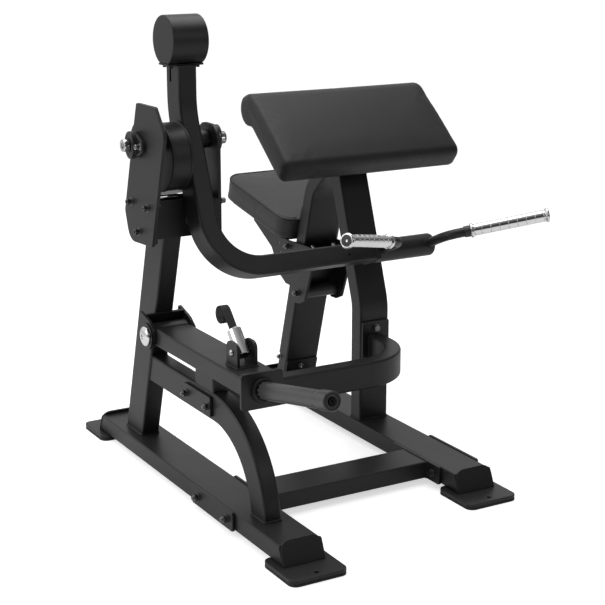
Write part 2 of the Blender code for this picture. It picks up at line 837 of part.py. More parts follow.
def build_arch():
    """Quarter-circle brace from the rear post down to the base beam."""
    centre_y = arch_front + arch_height / 2 + arch_radius
    z = arch_middle_z()
    rear = post_front_y(z)
    start = frame_at((0, rear - 0.05, z), X, -Y)
    drop = z - arch_radius - deck
    moves = [("go", rear - 0.05 - centre_y), ("turn", arch_radius, pi / 2, (0, 1), 8)]
    frames = follow(start, moves)
    if frames[-1].translation.z > z:
        moves[1] = ("turn", arch_radius, pi / 2, (0, -1), 8)
        frames = follow(start, moves)
    normal = Vector((0, cos(post_lean), sin(post_lean)))
    start_plane = (Vector((0, post_front_y(z), z)) - normal * rest_gap, normal)
    end_plane = (Vector((0, 0, deck)), Z)
    if drop > 0:
        frames.append(frames[-1] @ Matrix.Translation((0, 0, drop)))
    arch = box_tube("arch_brace", arch_width, arch_height, frames, look["coat"], start_plane, end_plane)
    block = plate_mesh(rectangle(arch_width - 0.002, stop_block_length, 0.004), stop_block_height() + weld_overlap,
                       stop_block_frame() @ Matrix.Translation((0, 0, -weld_overlap)))
    combine(arch, block, "UNION")
    cuts = [((-0.1, y, z), (0.1, y, z), bolt_radius + hole_clearance) for y in arch_bolt_places()]
    drill(arch, cuts, 12)
    outline = rectangle(arch_plate_length, arch_plate_height, flange_corner)
    x = -arch_width / 2 - rest_gap - flange_thickness
    middle = sum(arch_bolt_places()) / 2
    backing = plate("arch_backing_plate", outline, flange_thickness, frame_at((x, middle, z), Y, X), look["coat"])
    drill(backing, cuts, 12)


def stop_block_height():
    return lever_bottom - 2 * rest_gap - stop_pad_height - arch_top


def stop_block_frame():
    return frame_at((0, arch_front + arch_height / 2 + arch_radius + stop_block_length / 2, arch_top), X, Z)


def build_stop_pad():
    """Rubber pad on the arch's stop block, which the loaded lever comes down on."""
    frame = stop_block_frame() @ Matrix.Translation((0, 0, stop_block_height() + rest_gap))
    plate("lever_stop_pad", rectangle(arch_width, stop_block_length, 0.004), stop_pad_height - rest_gap, frame,
          look["rubber"])


def build_crossbar():
    """Bar from the arch along X that bends back to the front of the pad post."""
    z = arch_middle_z()
    low = arch_width / 2 + rest_gap
    start = frame_at((low + flange_thickness - weld_overlap, crossbar_y, z), Y, X)
    straight = module_spacing - crossbar_bend_radius - (low + flange_thickness - weld_overlap)
    moves = [("go", straight), ("turn", crossbar_bend_radius, pi / 2, (1, 0), 6)]
    frames = follow(start, moves)
    end_y = pad_post_front - rest_gap - flange_thickness + weld_overlap
    frames.append(frames[-1] @ Matrix.Translation((0, 0, end_y - frames[-1].translation.y)))
    bar = box_tube("crossbar", crossbar_depth, arch_height, frames, look["coat"])
    middle = sum(arch_bolt_places()) / 2
    inner_flange = plate_mesh(rectangle(arch_plate_length, arch_plate_height, flange_corner), flange_thickness,
                              frame_at((low, middle, z), Y, X))
    outer_flange = plate_mesh(rectangle(pad_post_width - 0.006, post_flange_height, flange_corner), flange_thickness,
                              frame_at((module_spacing, pad_post_front - rest_gap - flange_thickness, z), X, Y))
    combine(bar, merge_meshes([inner_flange, outer_flange]), "UNION")
    radius = bolt_radius + hole_clearance
    cuts = [((low - 0.01, y, z), (low + flange_thickness + 0.014, y, z), radius) for y in arch_bolt_places()]
    for rise in post_bolt_rises():
        cuts.append(((module_spacing, pad_post_front - 0.03, z + rise), (module_spacing, 0.01, z + rise), radius))
    cuts.append(((low - 0.01, crossbar_y, z), (low + 0.02, crossbar_y, z), vent_radius))
    drill(bar, cuts, 12)


def post_bolt_rises():
    rise = post_flange_height / 2 - 0.022
    return [-rise, rise]


# Pad post and seat leg

def pad_axes():
    up_slope = Vector((0, cos(pad_tilt), sin(pad_tilt)))
    normal = Vector((0, -sin(pad_tilt), cos(pad_tilt)))
    corner = Vector((module_spacing, pad_low_y, pad_low_z))
    return corner, up_slope, normal


def build_pad_post():
    corner, _, normal = pad_axes()
    depth = pad_plate_thickness + pad_block_thickness + 2 * rest_gap
    top_plane = (corner - normal * depth, normal)
    y = pad_post_front + pad_post_depth / 2
    kink = pad_post_kink_radius * tan(pad_post_lean / 2)
    start = frame_at((module_spacing, y, deck), X, Z)
    moves = [("go", pad_post_kink_z - kink - deck), ("turn", pad_post_kink_radius, pad_post_lean, (0, 1), 4)]
    frames = follow(start, moves)
    if frames[-1].col[2].y < 0:
        moves[1] = ("turn", pad_post_kink_radius, pad_post_lean, (0, -1), 4)
        frames = follow(start, moves)
    frames.append(frames[-1] @ Matrix.Translation((0, 0, 0.35)))
    post = box_tube("pad_post", pad_post_width, pad_post_depth, frames, look["coat"], end_plane=top_plane)
    z = arch_middle_z()
    cuts = [((module_spacing, -0.02, z + rise), (module_spacing, 0.08, z + rise), bolt_radius + hole_clearance)
            for rise in post_bolt_rises()]
    drill(post, cuts, 12)


def leg_direction():
    return Vector((0, -sin(leg_lean), cos(leg_lean)))


def leg_normal():
    """Out of the leg's rear face."""
    return Vector((0, cos(leg_lean), sin(leg_lean)))


def leg_point(along, off):
    """Point at a distance up the leg's front face from the deck, and off it to the rear."""
    return Vector((module_spacing, leg_front, beam_top)) + leg_direction() * along + leg_normal() * off


def build_seat_leg():
    middle = leg_point(0, leg_depth / 2)
    start = frame_at(middle, X, leg_direction()) @ Matrix.Translation((0, 0, 0.04))
    bend = leg_top_lean - leg_lean
    kink = leg_kink_radius * tan(bend / 2)
    straight = (leg_kink_z - beam_top) / cos(leg_lean) - 0.04 - kink
    moves = [("go", straight), ("turn", leg_kink_radius, bend, (0, 1), 4)]
    frames = follow(start, moves)
    if frames[-1].col[2].z > frames[0].col[2].z:
        moves[1] = ("turn", leg_kink_radius, bend, (0, -1), 4)
        frames = follow(start, moves)
    frames.append(frames[-1] @ Matrix.Translation((0, 0, 0.06)))
    normal = Vector((0, cos(pad_post_lean), -sin(pad_post_lean)))
    rear_of_post = Vector((0, pad_post_front + pad_post_depth / 2, pad_post_kink_z)) + normal * pad_post_depth / 2
    end_plane = (rear_of_post + normal * rest_gap, normal)
    box_tube("seat_leg", beam_width, leg_depth, frames, look["coat"], (Vector((0, 0, deck)), Z), end_plane)


def build_rail():
    """Flat guide rail on spacers behind the seat leg, which the carriage's rear roller runs on."""
    off = leg_depth + rail_stand_off
    low = leg_point(rail_low, off)
    length = rail_high - rail_low
    frame = frame_at(low + leg_direction() * (length / 2), X, leg_normal())
    rail = plate("guide_rail", rectangle(rail_width, length, 0.004), rail_thickness, frame, look["coat"])
    spacers = []
    for along in (rail_low + 0.03, (rail_low + rail_high) / 2, rail_high - 0.03):
        foot = leg_point(along, leg_depth + rest_gap)
        spacers.append(rod_mesh(foot, foot + leg_normal() * (rail_stand_off + 0.002), 0.012, 16))
    combine(rail, merge_meshes(spacers), "UNION")


# Exercise arm

def arm_down():
    return Vector((0, -sin(arm_lean), -cos(arm_lean)))


def arm_across():
    """Along the deep side of the arm's section."""
    return Vector((0, -cos(arm_lean), sin(arm_lean)))


def arm_frames():
    corner_rise = arm_offset / sin(arm_lean)
    kink = arm_kink_radius * tan(arm_lean / 2)
    corner_z = pivot_height + corner_rise * cos(arm_lean)
    start = frame_at((arm_x, arm_offset, arm_top), X, -Z)
    slope = corner_rise - kink + arm_reach - arm_bend_radius
    forward_v = 1 if start.col[1].y < 0 else -1
    moves = [("go", arm_top - corner_z - kink), ("turn", arm_kink_radius, arm_lean, (0, forward_v), 3),
             ("go", slope), ("turn", arm_bend_radius, pi / 2, (1, 0), 8),
             ("go", arm_end_x - arm_x - arm_bend_radius)]
    return follow(start, moves)


def build_arm():
    arm = box_tube("exercise_arm", arm_width, arm_depth, arm_frames(), look["coat"])
    reach = plate_inner - side_play
    combine(arm, rod_mesh((-reach, 0, pivot_height), (reach, 0, pivot_height), arm_hub_radius, 20), "UNION")
    drill(arm, [((-plate_outer, 0, pivot_height), (plate_outer, 0, pivot_height), shaft_radius + hole_clearance)], 20)
    slot_z = arm_top - arm_slot_length / 2
    slot_middle = Vector((arm_x - arm_width / 2 - tube_wall, arm_offset + arm_slot_shift, slot_z))
    slot = rectangle(arm_slot_width, arm_slot_length + tube_wall, arm_slot_width * 0.4, 4)
    combine(arm, plate_mesh(slot, 3 * tube_wall, frame_at(slot_middle, Y, X)), "DIFFERENCE")
    top_plate = plate_mesh(rectangle(weight_length, weight_plate_depth, 0.004), weight_plate_thickness,
                           frame_at((arm_x, arm_offset, arm_top - weld_overlap), X, Z))
    combine(arm, top_plate, "UNION")
    drill(arm, counterweight_holes(), 8)
    hub = hub_middle()
    section = rectangle(arm_depth + 2 * end_plate_margin, arm_width + 2 * end_plate_margin, tube_corner)
    end_plate = plate_mesh(section, end_plate_thickness,
                           frame_at((arm_end_x - weld_overlap, hub.y, hub.z), arm_across(), X))
    combine(arm, end_plate, "UNION")
    set_origin(arm, pivot)
    start = arm_end_x + end_plate_thickness - weld_overlap + rest_gap
    reach = hub_length - hub_wall_end - side_play
    spindle = [(0, 0), (spindle_radius, 0), (spindle_radius, reach - 0.002), (spindle_radius - 0.002, reach),
               (0, reach)]
    set_origin(turned("handle_spindle", spindle, frame_at((start, hub.y, hub.z), Z, X), look["chrome"]), pivot)


def build_arm_shaft():
    reach = plate_outer + shaft_overhang
    profile = [(0, -reach), (shaft_radius - 0.002, -reach), (shaft_radius, -reach + 0.002),
               (shaft_radius, reach - 0.002), (shaft_radius - 0.002, reach), (0, reach)]
    set_origin(turned("arm_shaft", profile, frame_at(pivot, Z, X), look["chrome"]), pivot)


def build_cam():
    """Eccentric drum that the lever's strap runs over."""
    high = arm_x - arm_width / 2 - rest_gap
    low = high - cam_width
    inner = cam_radius - cam_wall
    profile = [(0, 0), (cam_radius - 0.003, 0), (cam_radius, 0.003), (cam_radius, cam_width - 0.003),
               (cam_radius - 0.003, cam_width), (inner, cam_width), (inner, cam_wall), (0, cam_wall)]
    cam = turned("strap_cam", profile, frame_at((low, 0, pivot_height - cam_drop), Z, X), look["coat"], 32)
    boss = rod_mesh((low + cam_wall / 2, 0, pivot_height), (high, 0, pivot_height), arm_hub_radius + cam_wall, 20)
    combine(cam, boss, "UNION")
    drill(cam, [((low - 0.01, 0, pivot_height), (high + 0.01, 0, pivot_height), arm_hub_radius + hole_clearance)], 20)
    set_origin(cam, pivot)


def counterweight_holes():
    """Screw holes up through the plate on the arm's end into the weight."""
    cuts = []
    spread = (arm_width + weight_length) / 4
    for dx in (-spread, spread):
        for dy in (-weight_screw_pitch / 2, weight_screw_pitch / 2):
            point = Vector((arm_x + dx, arm_offset + dy, arm_top))
            cuts.append((point - Z * 0.01, point + Z * weight_screw_depth, screw_hole))
    return cuts


def build_counterweight():
    """Round weight on top of the arm, flat where it sits on the arm's end plate."""
    flat = arm_top - weld_overlap + weight_plate_thickness + rest_gap
    centre = Vector((arm_x, arm_offset, flat + weight_flat_drop))
    half = weight_length / 2
    profile = [(0, -half), (weight_radius - weight_chamfer, -half), (weight_radius, -half + weight_chamfer),
               (weight_radius, half - weight_chamfer), (weight_radius - weight_chamfer, half), (0, half)]
    weight = turned("counterweight", profile, frame_at(centre, Z, X), look["coat"], 36)
    below = plate_mesh(rectangle(weight_length * 2, weight_radius * 4), 0.03,
                       frame_at((arm_x, arm_offset, flat - 0.03), X, Z))
    combine(weight, below, "DIFFERENCE")
    drill(weight, counterweight_holes(), 8)
    set_origin(weight, pivot)


# Handle

def hub_middle():
    return pivot + arm_down() * arm_reach + X * handle_x


def handle_point(spread, reach, way):
    forward = Vector((0, -cos(handle_tilt), sin(handle_tilt)))
    return hub_middle() + X * (way * spread) + forward * reach


def grip_line(way):
    inner = handle_point(grip_start_spread, grip_start_reach, way)
    outer = handle_point(grip_end_spread, grip_end_reach, way)
    return inner, outer


def build_handle_hub():
    bore = bore_over(spindle_radius)
    hub = hub_middle()
    profile = [(bore, 0), (hub_radius - 0.002, 0), (hub_radius, 0.002), (hub_radius, hub_length - hub_round)]
    for step in range(1, 4):
        angle = pi / 2 * step / 3
        profile.append((hub_radius - hub_round * (1 - cos(angle)), hub_length - hub_round * (1 - sin(angle))))
    profile += [(0, hub_length), (0, hub_length - hub_wall_end), (bore, hub_length - hub_wall_end)]
    frame = frame_at(hub - X * (hub_length / 2), Z, X)
    body = turned("handle_bar", profile, frame, look["coat"], closed=True)
    length = grip_length()
    bars = []
    for way in (-1, 1):
        bars.append(swept_mesh(circle(bar_radius, 14), None, bar_frames(way, length - grip_cap_length - rest_gap)))
    combine(body, merge_meshes(bars), "UNION")
    set_origin(body, hub)


def bar_frames(way, tip):
    """From the hub forward, then round into the grip's own line and out to its tip."""
    inner, outer = grip_line(way)
    along = (outer - inner).normalized()
    forward = Vector((0, -cos(handle_tilt), sin(handle_tilt)))
    turn = forward.angle(along)
    root_point = handle_point(bar_spread, (spindle_radius + hub_radius) / 2, way)
    offset = (inner - root_point).dot(X * way)
    corner_reach = (inner - root_point).dot(forward) - offset * along.dot(forward) / along.dot(X * way)
    trim = bar_bend_radius * tan(turn / 2)
    corner = root_point + forward * corner_reach
    start = frame_at(root_point, X * way, forward)
    end_length = (inner - corner).dot(along) + tip - trim
    moves = [("go", corner_reach - trim), ("turn", bar_bend_radius, turn, (1, 0), 5), ("go", end_length)]
    return follow(start, moves)


def grip_length():
    inner, outer = grip_line(1)
    return (outer - inner).length


def grip_profile():
    """Sleeve with ring grooves and a flared outer end."""
    length = grip_length() - grip_cap_length - collar_length - 3 * rest_gap
    bore = bore_over(bar_radius, grip_sides)
    low = grip_radius - grip_groove_depth
    profile = [(bore, 0), (grip_radius, 0)]
    count = int((length - 0.02) / grip_groove_pitch)
    for i in range(count):
        middle = grip_groove_pitch * (i + 1)
        half = grip_groove_width / 2
        profile += [(grip_radius, middle - half), (low, middle), (grip_radius, middle + half)]
    profile += [(grip_radius, length), (bore, length)]
    return profile


def build_grips():
    hub = hub_middle()
    length = grip_length()
    bore = bar_radius + hole_clearance
    ring = [(bore, 0), (collar_radius - 0.002, 0), (collar_radius, 0.002), (collar_radius, collar_length - 0.002),
            (collar_radius - 0.002, collar_length), (bore, collar_length)]
    cap = [(0, 0), (grip_radius, 0), (grip_cap_radius, grip_cap_chamfer),
           (grip_cap_radius, grip_cap_length - grip_cap_chamfer), (grip_cap_radius - grip_cap_chamfer, grip_cap_length),
           (grip_cap_recess + 0.001, grip_cap_length), (grip_cap_recess, grip_cap_length - 0.002),
           (0, grip_cap_length - 0.002)]
    for way, side_name in ((-1, "left"), (1, "right")):
        inner, outer = grip_line(way)
        frame = frame_at(inner, arm_down(), outer - inner)
        set_origin(turned(f"grip_collar_{side_name}", ring, frame, look["chrome"], 20, closed=True), hub)
        sleeve_start = frame @ Matrix.Translation((0, 0, collar_length + rest_gap))
        sleeve = turned(f"grip_{side_name}", grip_profile(), sleeve_start, look["chrome"], grip_sides, closed=True)
        set_origin(sleeve, inner)
        cap_start = frame @ Matrix.Translation((0, 0, length - grip_cap_length))
        set_origin(turned(f"grip_end_{side_name}", cap, cap_start, look["nylon"], 20), hub)


# Weight lever

def horn_start():
    y = lever_front + weld_overlap - front_plate_thickness - rest_gap
    return Vector((0, y, front_plate_bottom + front_plate_height / 2))


def horn_direction():
    return Vector((0, -cos(horn_tilt), sin(horn_tilt)))


def build_lever():
    start = frame_at((0, lever_front, lever_middle_z), X, Y)
    frames = follow(start, [("go", lever_pivot_y - barrel_radius * 0.55 - lever_front)])
    lever = box_tube("lever_beam", lever_width, beam_height, frames, look["coat"])
    half = lever_width / 2
    barrel = rod_mesh((-half, lever_pivot_y, lever_pivot_z), (half, lever_pivot_y, lever_pivot_z), barrel_radius, 20)
    combine(lever, barrel, "UNION")
    drill(lever, [((-0.2, lever_pivot_y, lever_pivot_z), (0.2, lever_pivot_y, lever_pivot_z),
                   bore_over(pin_radius))], 20)
    middle = front_plate_bottom + front_plate_height / 2
    outline = rectangle(front_plate_width, front_plate_height, 0.010, 4)
    front_frame = frame_at((0, lever_front + weld_overlap, middle), X, -Y)
    combine(lever, plate_mesh(outline, front_plate_thickness, front_frame), "UNION")
    vent = Vector((0, lever_front + front_plate_height, lever_middle_z))
    drill(lever, [(vent - Z * beam_height, vent, vent_radius)])
    set_origin(lever, lever_pivot)


def build_horn():
    along = horn_direction()
    base = horn_start()
    frame = frame_at(base, X, along)
    flange = horn_flange_thickness
    outline = circle(horn_flange_radius, 24)
    body = tube("horn_flange", outline, None, [frame @ Matrix.Translation((0, 0, 0.004)),
                frame @ Matrix.Translation((0, 0, 0.004 + flange))], look["coat"],
                start_plane=(base, Vector((0, 1, 0))))
    core_end = horn_length - 0.012
    core = rod_mesh(base + along * (flange / 2 + 0.004), base + along * core_end, horn_core_radius, 20)
    combine(body, core, "UNION")
    set_origin(body, lever_pivot)
    sleeve_low = flange + 0.004 + rest_gap
    sleeve_high = horn_length - collar_end_length
    bore = horn_core_radius + hole_clearance
    sleeve = tube("horn_sleeve", circle(horn_sleeve_radius, 20), circle(bore, 20),
                  [frame @ Matrix.Translation((0, 0, sleeve_low)), frame @ Matrix.Translation((0, 0, sleeve_high))],
                  look["nylon"])
    notches = []
    for i in range(crown_teeth):
        angle = 2 * pi * i / crown_teeth
        radial = frame.to_3x3() @ Vector((cos(angle), sin(angle), 0))
        side = along.cross(radial)
        half = pi * horn_sleeve_radius / crown_teeth * 0.8
        notch = [Vector((-half, -0.001)), Vector((half, -0.001)), Vector((0, crown_depth))]
        start = frame @ Vector((0, 0, sleeve_low)) + radial * (horn_sleeve_radius - 0.003)
        notches.append(plate_mesh(notch, 0.008, frame_at(start, side, radial)))
    combine(sleeve, merge_meshes(notches), "DIFFERENCE")
    set_origin(sleeve, lever_pivot)
    top = collar_end_radius
    length = collar_end_length
    collar = [(bore, rest_gap), (horn_sleeve_radius, rest_gap), (horn_sleeve_radius + 0.001, 0.010), (top, 0.014),
              (top, length - collar_end_taper), (top - collar_end_taper / 2, length - collar_end_taper / 3),
              (top - collar_end_taper, length),
              (horn_core_radius + 0.001, length), (bore, length - 0.004)]
    body = turned("horn_collar", collar, frame @ Matrix.Translation((0, 0, sleeve_high)), look["nylon"], closed=True)
    set_origin(body, lever_pivot)


def clevis_pin():
    return Vector((0, clevis_y, lever_top + clevis_pin_rise))


def build_clevis():
    base = lever_top + rest_gap
    pin = clevis_pin()
    reach = ear_gap / 2
    half = ear_width / 2
    floor_frame = frame_at((0, clevis_y, base), X, Z)
    floor = plate_mesh(rectangle(ear_gap + 2 * ear_thickness, ear_width, 0.002), 0.006, floor_frame)
    clevis = finish_mesh("strap_clevis", floor, look["coat"], True)
    ears = []
    for x in (-reach - ear_thickness, reach):
        outline = rounded([(clevis_y - half, base, 0), (clevis_y + half, base, 0),
                           (clevis_y + half, base + ear_height, 0.020), (clevis_y - half, base + ear_height, 0.020)], 5)
        ears.append(plate_mesh(outline, ear_thickness, frame_at((x, 0, 0), Y, X)))
    combine(clevis, merge_meshes(ears), "UNION")
    radius = clevis_pin_radius
    drill(clevis, [(pin - X * 0.1, pin + X * 0.1, radius + hole_clearance)], 16)
    set_origin(clevis, lever_pivot)
    outer = reach + ear_thickness
    profile = [(0, -outer - 0.006), (0.008, -outer - 0.006), (0.009, -outer - rest_gap), (radius, -outer - rest_gap),
               (radius, outer + rest_gap), (0.009, outer + rest_gap), (0.008, outer + 0.006), (0, outer + 0.006)]
    set_origin(turned("clevis_pin", profile, frame_at(pin, Z, X), look["oxide"], 16), lever_pivot)


def strap_direction():
    return Vector((0, cos(strap_rise), sin(strap_rise)))


def build_anchor():
    """Chrome barrel that holds the strap's end and swings on the clevis pin."""
    pin = clevis_pin()
    along = strap_direction()
    start = pin - along * anchor_tail
    frame = frame_at(start, X, along)
    radius = anchor_radius
    profile = [(0, 0), (radius - 0.002, 0), (radius, 0.002), (radius, anchor_length - 0.002),
               (radius - 0.002, anchor_length), (0, anchor_length)]
    body = turned("strap_anchor", profile, frame, look["chrome"])
    mouth = plate_mesh(rectangle(strap_width + 2 * hole_clearance, strap_thickness + 2 * hole_clearance), 0.05,
                       frame @ Matrix.Translation((0, 0, anchor_length - 0.030)))
    combine(body, mouth, "DIFFERENCE")
    drill(body, [(pin - X * 0.1, pin + X * 0.1, bore_over(clevis_pin_radius))], 20)
    set_origin(body, pin)


def roll_points():
    """Middle line of the strap: straight out of its anchor, then rolled inwards, in the YZ plane."""
    pin = clevis_pin()
    along = strap_direction()
    down = Vector((0, sin(strap_rise), -cos(strap_rise)))
    first = pin + along * (anchor_length - anchor_tail - 0.029)
    outer = roll_core + roll_pitch * roll_turns
    tangent = first + along * (0.029 + strap_run)
    centre = tangent + down * outer
    points = [first, tangent - along * 0.020]
    steps = int(roll_turns * 20)
    for i in range(steps + 1):
        angle = 2 * pi * roll_turns * i / steps
        radius = outer - roll_pitch * angle / (2 * pi)
        points.append(centre - down * radius * cos(angle) + along * radius * sin(angle))
    return points


def least_gap(points):
    """Least distance between turns of the roll, less the strap's thickness."""
    least = 1.0
    for i, a in enumerate(points):
        for b in points[i + 12:]:
            least = min(least, (a - b).length - strap_thickness)
    return least


def build_strap():
    points = roll_points()
    print("least gap between the strap's turns, in mm:", round(least_gap(points) * 1000, 2))
    frames = []
    for i, point in enumerate(points):
        ahead = points[min(i + 1, len(points) - 1)]
        behind = points[max(i - 1, 0)]
        frames.append(frame_at(point, X, ahead - behind))
    outline = rectangle(strap_width, strap_thickness)
    set_origin(tube("pull_strap", outline, None, frames, look["webbing"]), clevis_pin())


# Seat carriage

def carriage_parts(body, point=None):
    return set_origin(body, point or leg_point(front_roller_along, 0))


def cheek_outline():
    """Side plate of the carriage in the YZ plane, from the seat board down to the lower roller."""
    board = seat_board_corner()
    slope = Vector((0, cos(seat_tilt), sin(seat_tilt)))
    front_top = board - Z * rest_gap
    rear_top = board + slope * (seat_length * 0.70) - Z * rest_gap
    corners = [(rear_top.y, rear_top.z, 0.006), (front_top.y, front_top.z, 0.002)]
    for along, off, radius in cheek_corners:
        point = leg_point(along, off)
        corners.append((point.y, point.z, radius))
    return rounded(corners, 3)


def seat_board_corner():
    """Front lower edge of the seat board, on the seat's middle line."""
    slope = Vector((0, cos(seat_tilt), sin(seat_tilt)))
    normal = Vector((0, -sin(seat_tilt), cos(seat_tilt)))
    top = Vector((module_spacing, seat_front_y, seat_top_z))
    return top - normal * (seat_thickness + board_thickness + rest_gap) + slope * board_inset


def build_carriage():
    outline = cheek_outline()
    span = beam_width / 2 + cheek_clearance
    front_roller = leg_point(front_roller_along, -roller_radius - rest_gap)
    rear_off = leg_depth + rail_stand_off + rail_thickness + rear_roller_radius + rest_gap
    rear_roller = leg_point(rear_roller_along, rear_off)
    shafts = [front_roller, rear_roller]
    cheeks = [plate_mesh(outline, cheek_thickness, frame_at((x, 0, 0), Y, X))
              for x in (module_spacing - span - cheek_thickness, module_spacing + span)]
    carriage = finish_mesh("seat_carriage", merge_meshes(cheeks), look["coat"], True)
    block_foot = leg_point(carriage_block_along, carriage_block_off)
    block_section = rectangle(2 * span + cheek_thickness, carriage_block_depth, 0.003)
    block = plate_mesh(block_section, carriage_block_height, frame_at(block_foot, X, Z))
    combine(carriage, block, "UNION")
    bore = roller_shaft_radius + hole_clearance
    drill(carriage, [(centre - X * 0.2, centre + X * 0.2, bore) for centre in shafts], 16)
    carriage_parts(carriage)
    roller_span = 2 * (span - side_play)
    bore = bore_over(roller_shaft_radius)
    for name, centre, rim in (("front_roller", front_roller, roller_radius),
                              ("rear_roller", rear_roller, rear_roller_radius)):
        half = roller_span / 2
        profile = [(bore, -half), (rim - 0.002, -half), (rim, -half + 0.002), (rim, half - 0.002),
                   (rim - 0.002, half), (bore, half)]
        body = turned(name, profile, frame_at(centre, Z, X), look["nylon"], closed=True)
        set_origin(body, centre)
    for name, centre in (("front_roller_shaft", front_roller), ("rear_roller_shaft", rear_roller)):
        start = frame_at(centre - X * (span + cheek_thickness + rest_gap), Z, X)
        profile = shaft_bolt_profile(2 * (span + cheek_thickness + rest_gap), roller_shaft_radius, 0.010)
        carriage_parts(turned(name, profile, start, look["oxide"], 16))


def build_seat():
    slope = Vector((0, cos(seat_tilt), sin(seat_tilt)))
    normal = Vector((0, -sin(seat_tilt), cos(seat_tilt)))
    top = Vector((module_spacing, seat_front_y, seat_top_z))
    middle = top + slope * (seat_length / 2)
    board_frame = frame_at(middle - normal * (seat_thickness + board_thickness + rest_gap), X, normal)
    board = plate("seat_board", seat_outline(board_inset), board_thickness, board_frame, look["board"])
    carriage_parts(board)
    cushion = cushion_mesh(frame_at(middle - normal * seat_thickness, X, normal))
    carriage_parts(finish_mesh("seat_cushion", cushion, look["vinyl"], True))


def seat_outline(inset, share=1.0):
    """Outline of the seat, narrower to the front, drawn in all round and then shrunk."""
    front = (seat_front_width / 2 - inset) * share
    rear = (seat_width / 2 - inset) * share
    half = (seat_length / 2 - inset) * share
    radius = (seat_corner - inset) * share
    return rounded([(-front, -half, radius), (front, -half, radius), (rear, half, radius), (-rear, half, radius)], 5)


def cushion_mesh(frame):
    """Cushion with rounded edges, slightly drawn-in sides and a crowned top."""
    thickness = seat_thickness
    levels = [(0, 0.006), (seat_foot_rise, seat_foot_inset), (0.25 * thickness, 0.0022), (0.5 * thickness, 0.0008),
              (thickness - 0.018, 0), (thickness - 0.010, 0.002), (thickness - 0.004, 0.007), (thickness, 0.016)]
    bm = bmesh.new()
    rings = []
    for height, inset in levels:
        rings.append([bm.verts.new((p.x, p.y, height)) for p in seat_outline(inset)])
    edge = levels[-1][1]
    for share, rise in ((0.72, 0.6), (0.40, 0.9)):
        rings.append([bm.verts.new((p.x, p.y, thickness + seat_crown * rise)) for p in seat_outline(edge, share)])
    for low, high in zip(rings, rings[1:]):
        for i in range(len(low)):
            j = (i + 1) % len(low)
            bm.faces.new((low[i], low[j], high[j], high[i]))
    bm.faces.new(list(reversed(rings[0])))
    peak = bm.verts.new((0, 0, thickness + seat_crown))
    last = rings[-1]
    for i in range(len(last)):
        bm.faces.new((last[i], last[(i + 1) % len(last)], peak))
    bmesh.ops.transform(bm, matrix=frame, verts=bm.verts)
    return bm


# Arm pad

def pad_section():
    """Side outline of the pad: flat underside and front, rounded top edge, and a roll at the high edge."""
    roll = Vector((pad_length - pad_roll_radius, pad_roll_offset))
    under_touch = roll.x - (pad_roll_radius ** 2 - pad_roll_offset ** 2) ** 0.5
    points = [Vector((pad_low_radius, 0)), Vector((pad_length * 0.4, 0)), Vector((under_touch, 0))]
    first = atan2(-pad_roll_offset, under_touch - roll.x)
    sweep = (pi / 2 - first) % (2 * pi)
    steps = 14
    for i in range(1, steps + 1):
        angle = first + sweep * i / steps
        points.append(roll + pad_roll_radius * Vector((cos(angle), sin(angle))))
    run = roll.x - pad_edge_radius
    for share in (0.75, 0.5, 0.25):
        points.append(Vector((pad_edge_radius + run * share, pad_thickness + pad_crown * sin(pi * share))))
    for i in range(5):
        angle = pi / 2 + pi / 2 * i / 4
        points.append(Vector((pad_edge_radius + pad_edge_radius * cos(angle),
                              pad_thickness - pad_edge_radius + pad_edge_radius * sin(angle))))
    points.append(Vector((0, pad_low_radius)))
    return points


def pad_levels():
    """Places along the pad's width with the inset of its section there: rounded rims and flat ends."""
    levels = []
    for i in range(5):
        angle = pi / 2 * i / 4
        levels.append((pad_end_radius * (1 - cos(angle)) - pad_width / 2, pad_end_radius * (1 - sin(angle))))
    levels += [(-pad_width / 4, 0), (0, 0)]
    return levels + [(-x, inset) for x, inset in reversed(levels[:-1])]


def build_arm_pad():
    corner, up_slope, normal = pad_axes()
    section = pad_section()
    middle = Vector((pad_length / 2, pad_thickness / 2))
    bm = bmesh.new()
    rings = []
    for x, inset in pad_levels():
        ring = []
        for p in section:
            q = drawn_in(p, middle, inset)
            place = corner + X * x + up_slope * q.x + normal * q.y
            ring.append(bm.verts.new(place))
        rings.append(ring)
    for low, high in zip(rings, rings[1:]):
        for i in range(len(low)):
            j = (i + 1) % len(low)
            bm.faces.new((low[i], low[j], high[j], high[i]))
    bm.faces.new(rings[0])
    bm.faces.new(list(reversed(rings[-1])))
    finish_mesh("arm_pad", bm, look["vinyl"], True)


def drawn_in(point, middle, inset):
    """A section point moved inwards by the inset along both of the section's directions."""
    away = point - middle
    u = min(inset, abs(away.x)) * (1 if away.x > 0 else -1)
    v = min(inset, abs(away.y)) * (1 if away.y > 0 else -1)
    return point - Vector((u, v))


def build_pad_plate():
    corner, up_slope, normal = pad_axes()
    centre = corner + up_slope * pad_plate_along - normal * (rest_gap + pad_plate_thickness)
    frame = frame_at(centre, X, normal)
    outline = rectangle(pad_plate_width, pad_plate_length, 0.012, 4)
    body = plate("pad_plate", outline, pad_plate_thickness, frame, look["coat"])
    block_middle = pad_block_start + pad_block_length / 2 - pad_plate_along
    block_frame = frame @ Matrix.Translation((0, block_middle, -pad_block_thickness))
    block_outline = rectangle(pad_block_width, pad_block_length, 0.003)
    block = plate_mesh(block_outline, pad_block_thickness + weld_overlap, block_frame)
    combine(body, block, "UNION")
    cuts = []
    across = pad_plate_width / 2 - pad_screw_inset
    upward = pad_plate_length / 2 - pad_screw_inset
    for dx in (-across, across):
        for dv in (-upward, upward):
            point = centre + X * dx + up_slope * dv
            cuts.append((point - normal * 0.01, point + normal * 0.03, pad_screw_hole))
    drill(body, cuts, 12)
    drill(bpy.data.objects["arm_pad"], cuts, 12)


# Gas strut beside the seat leg

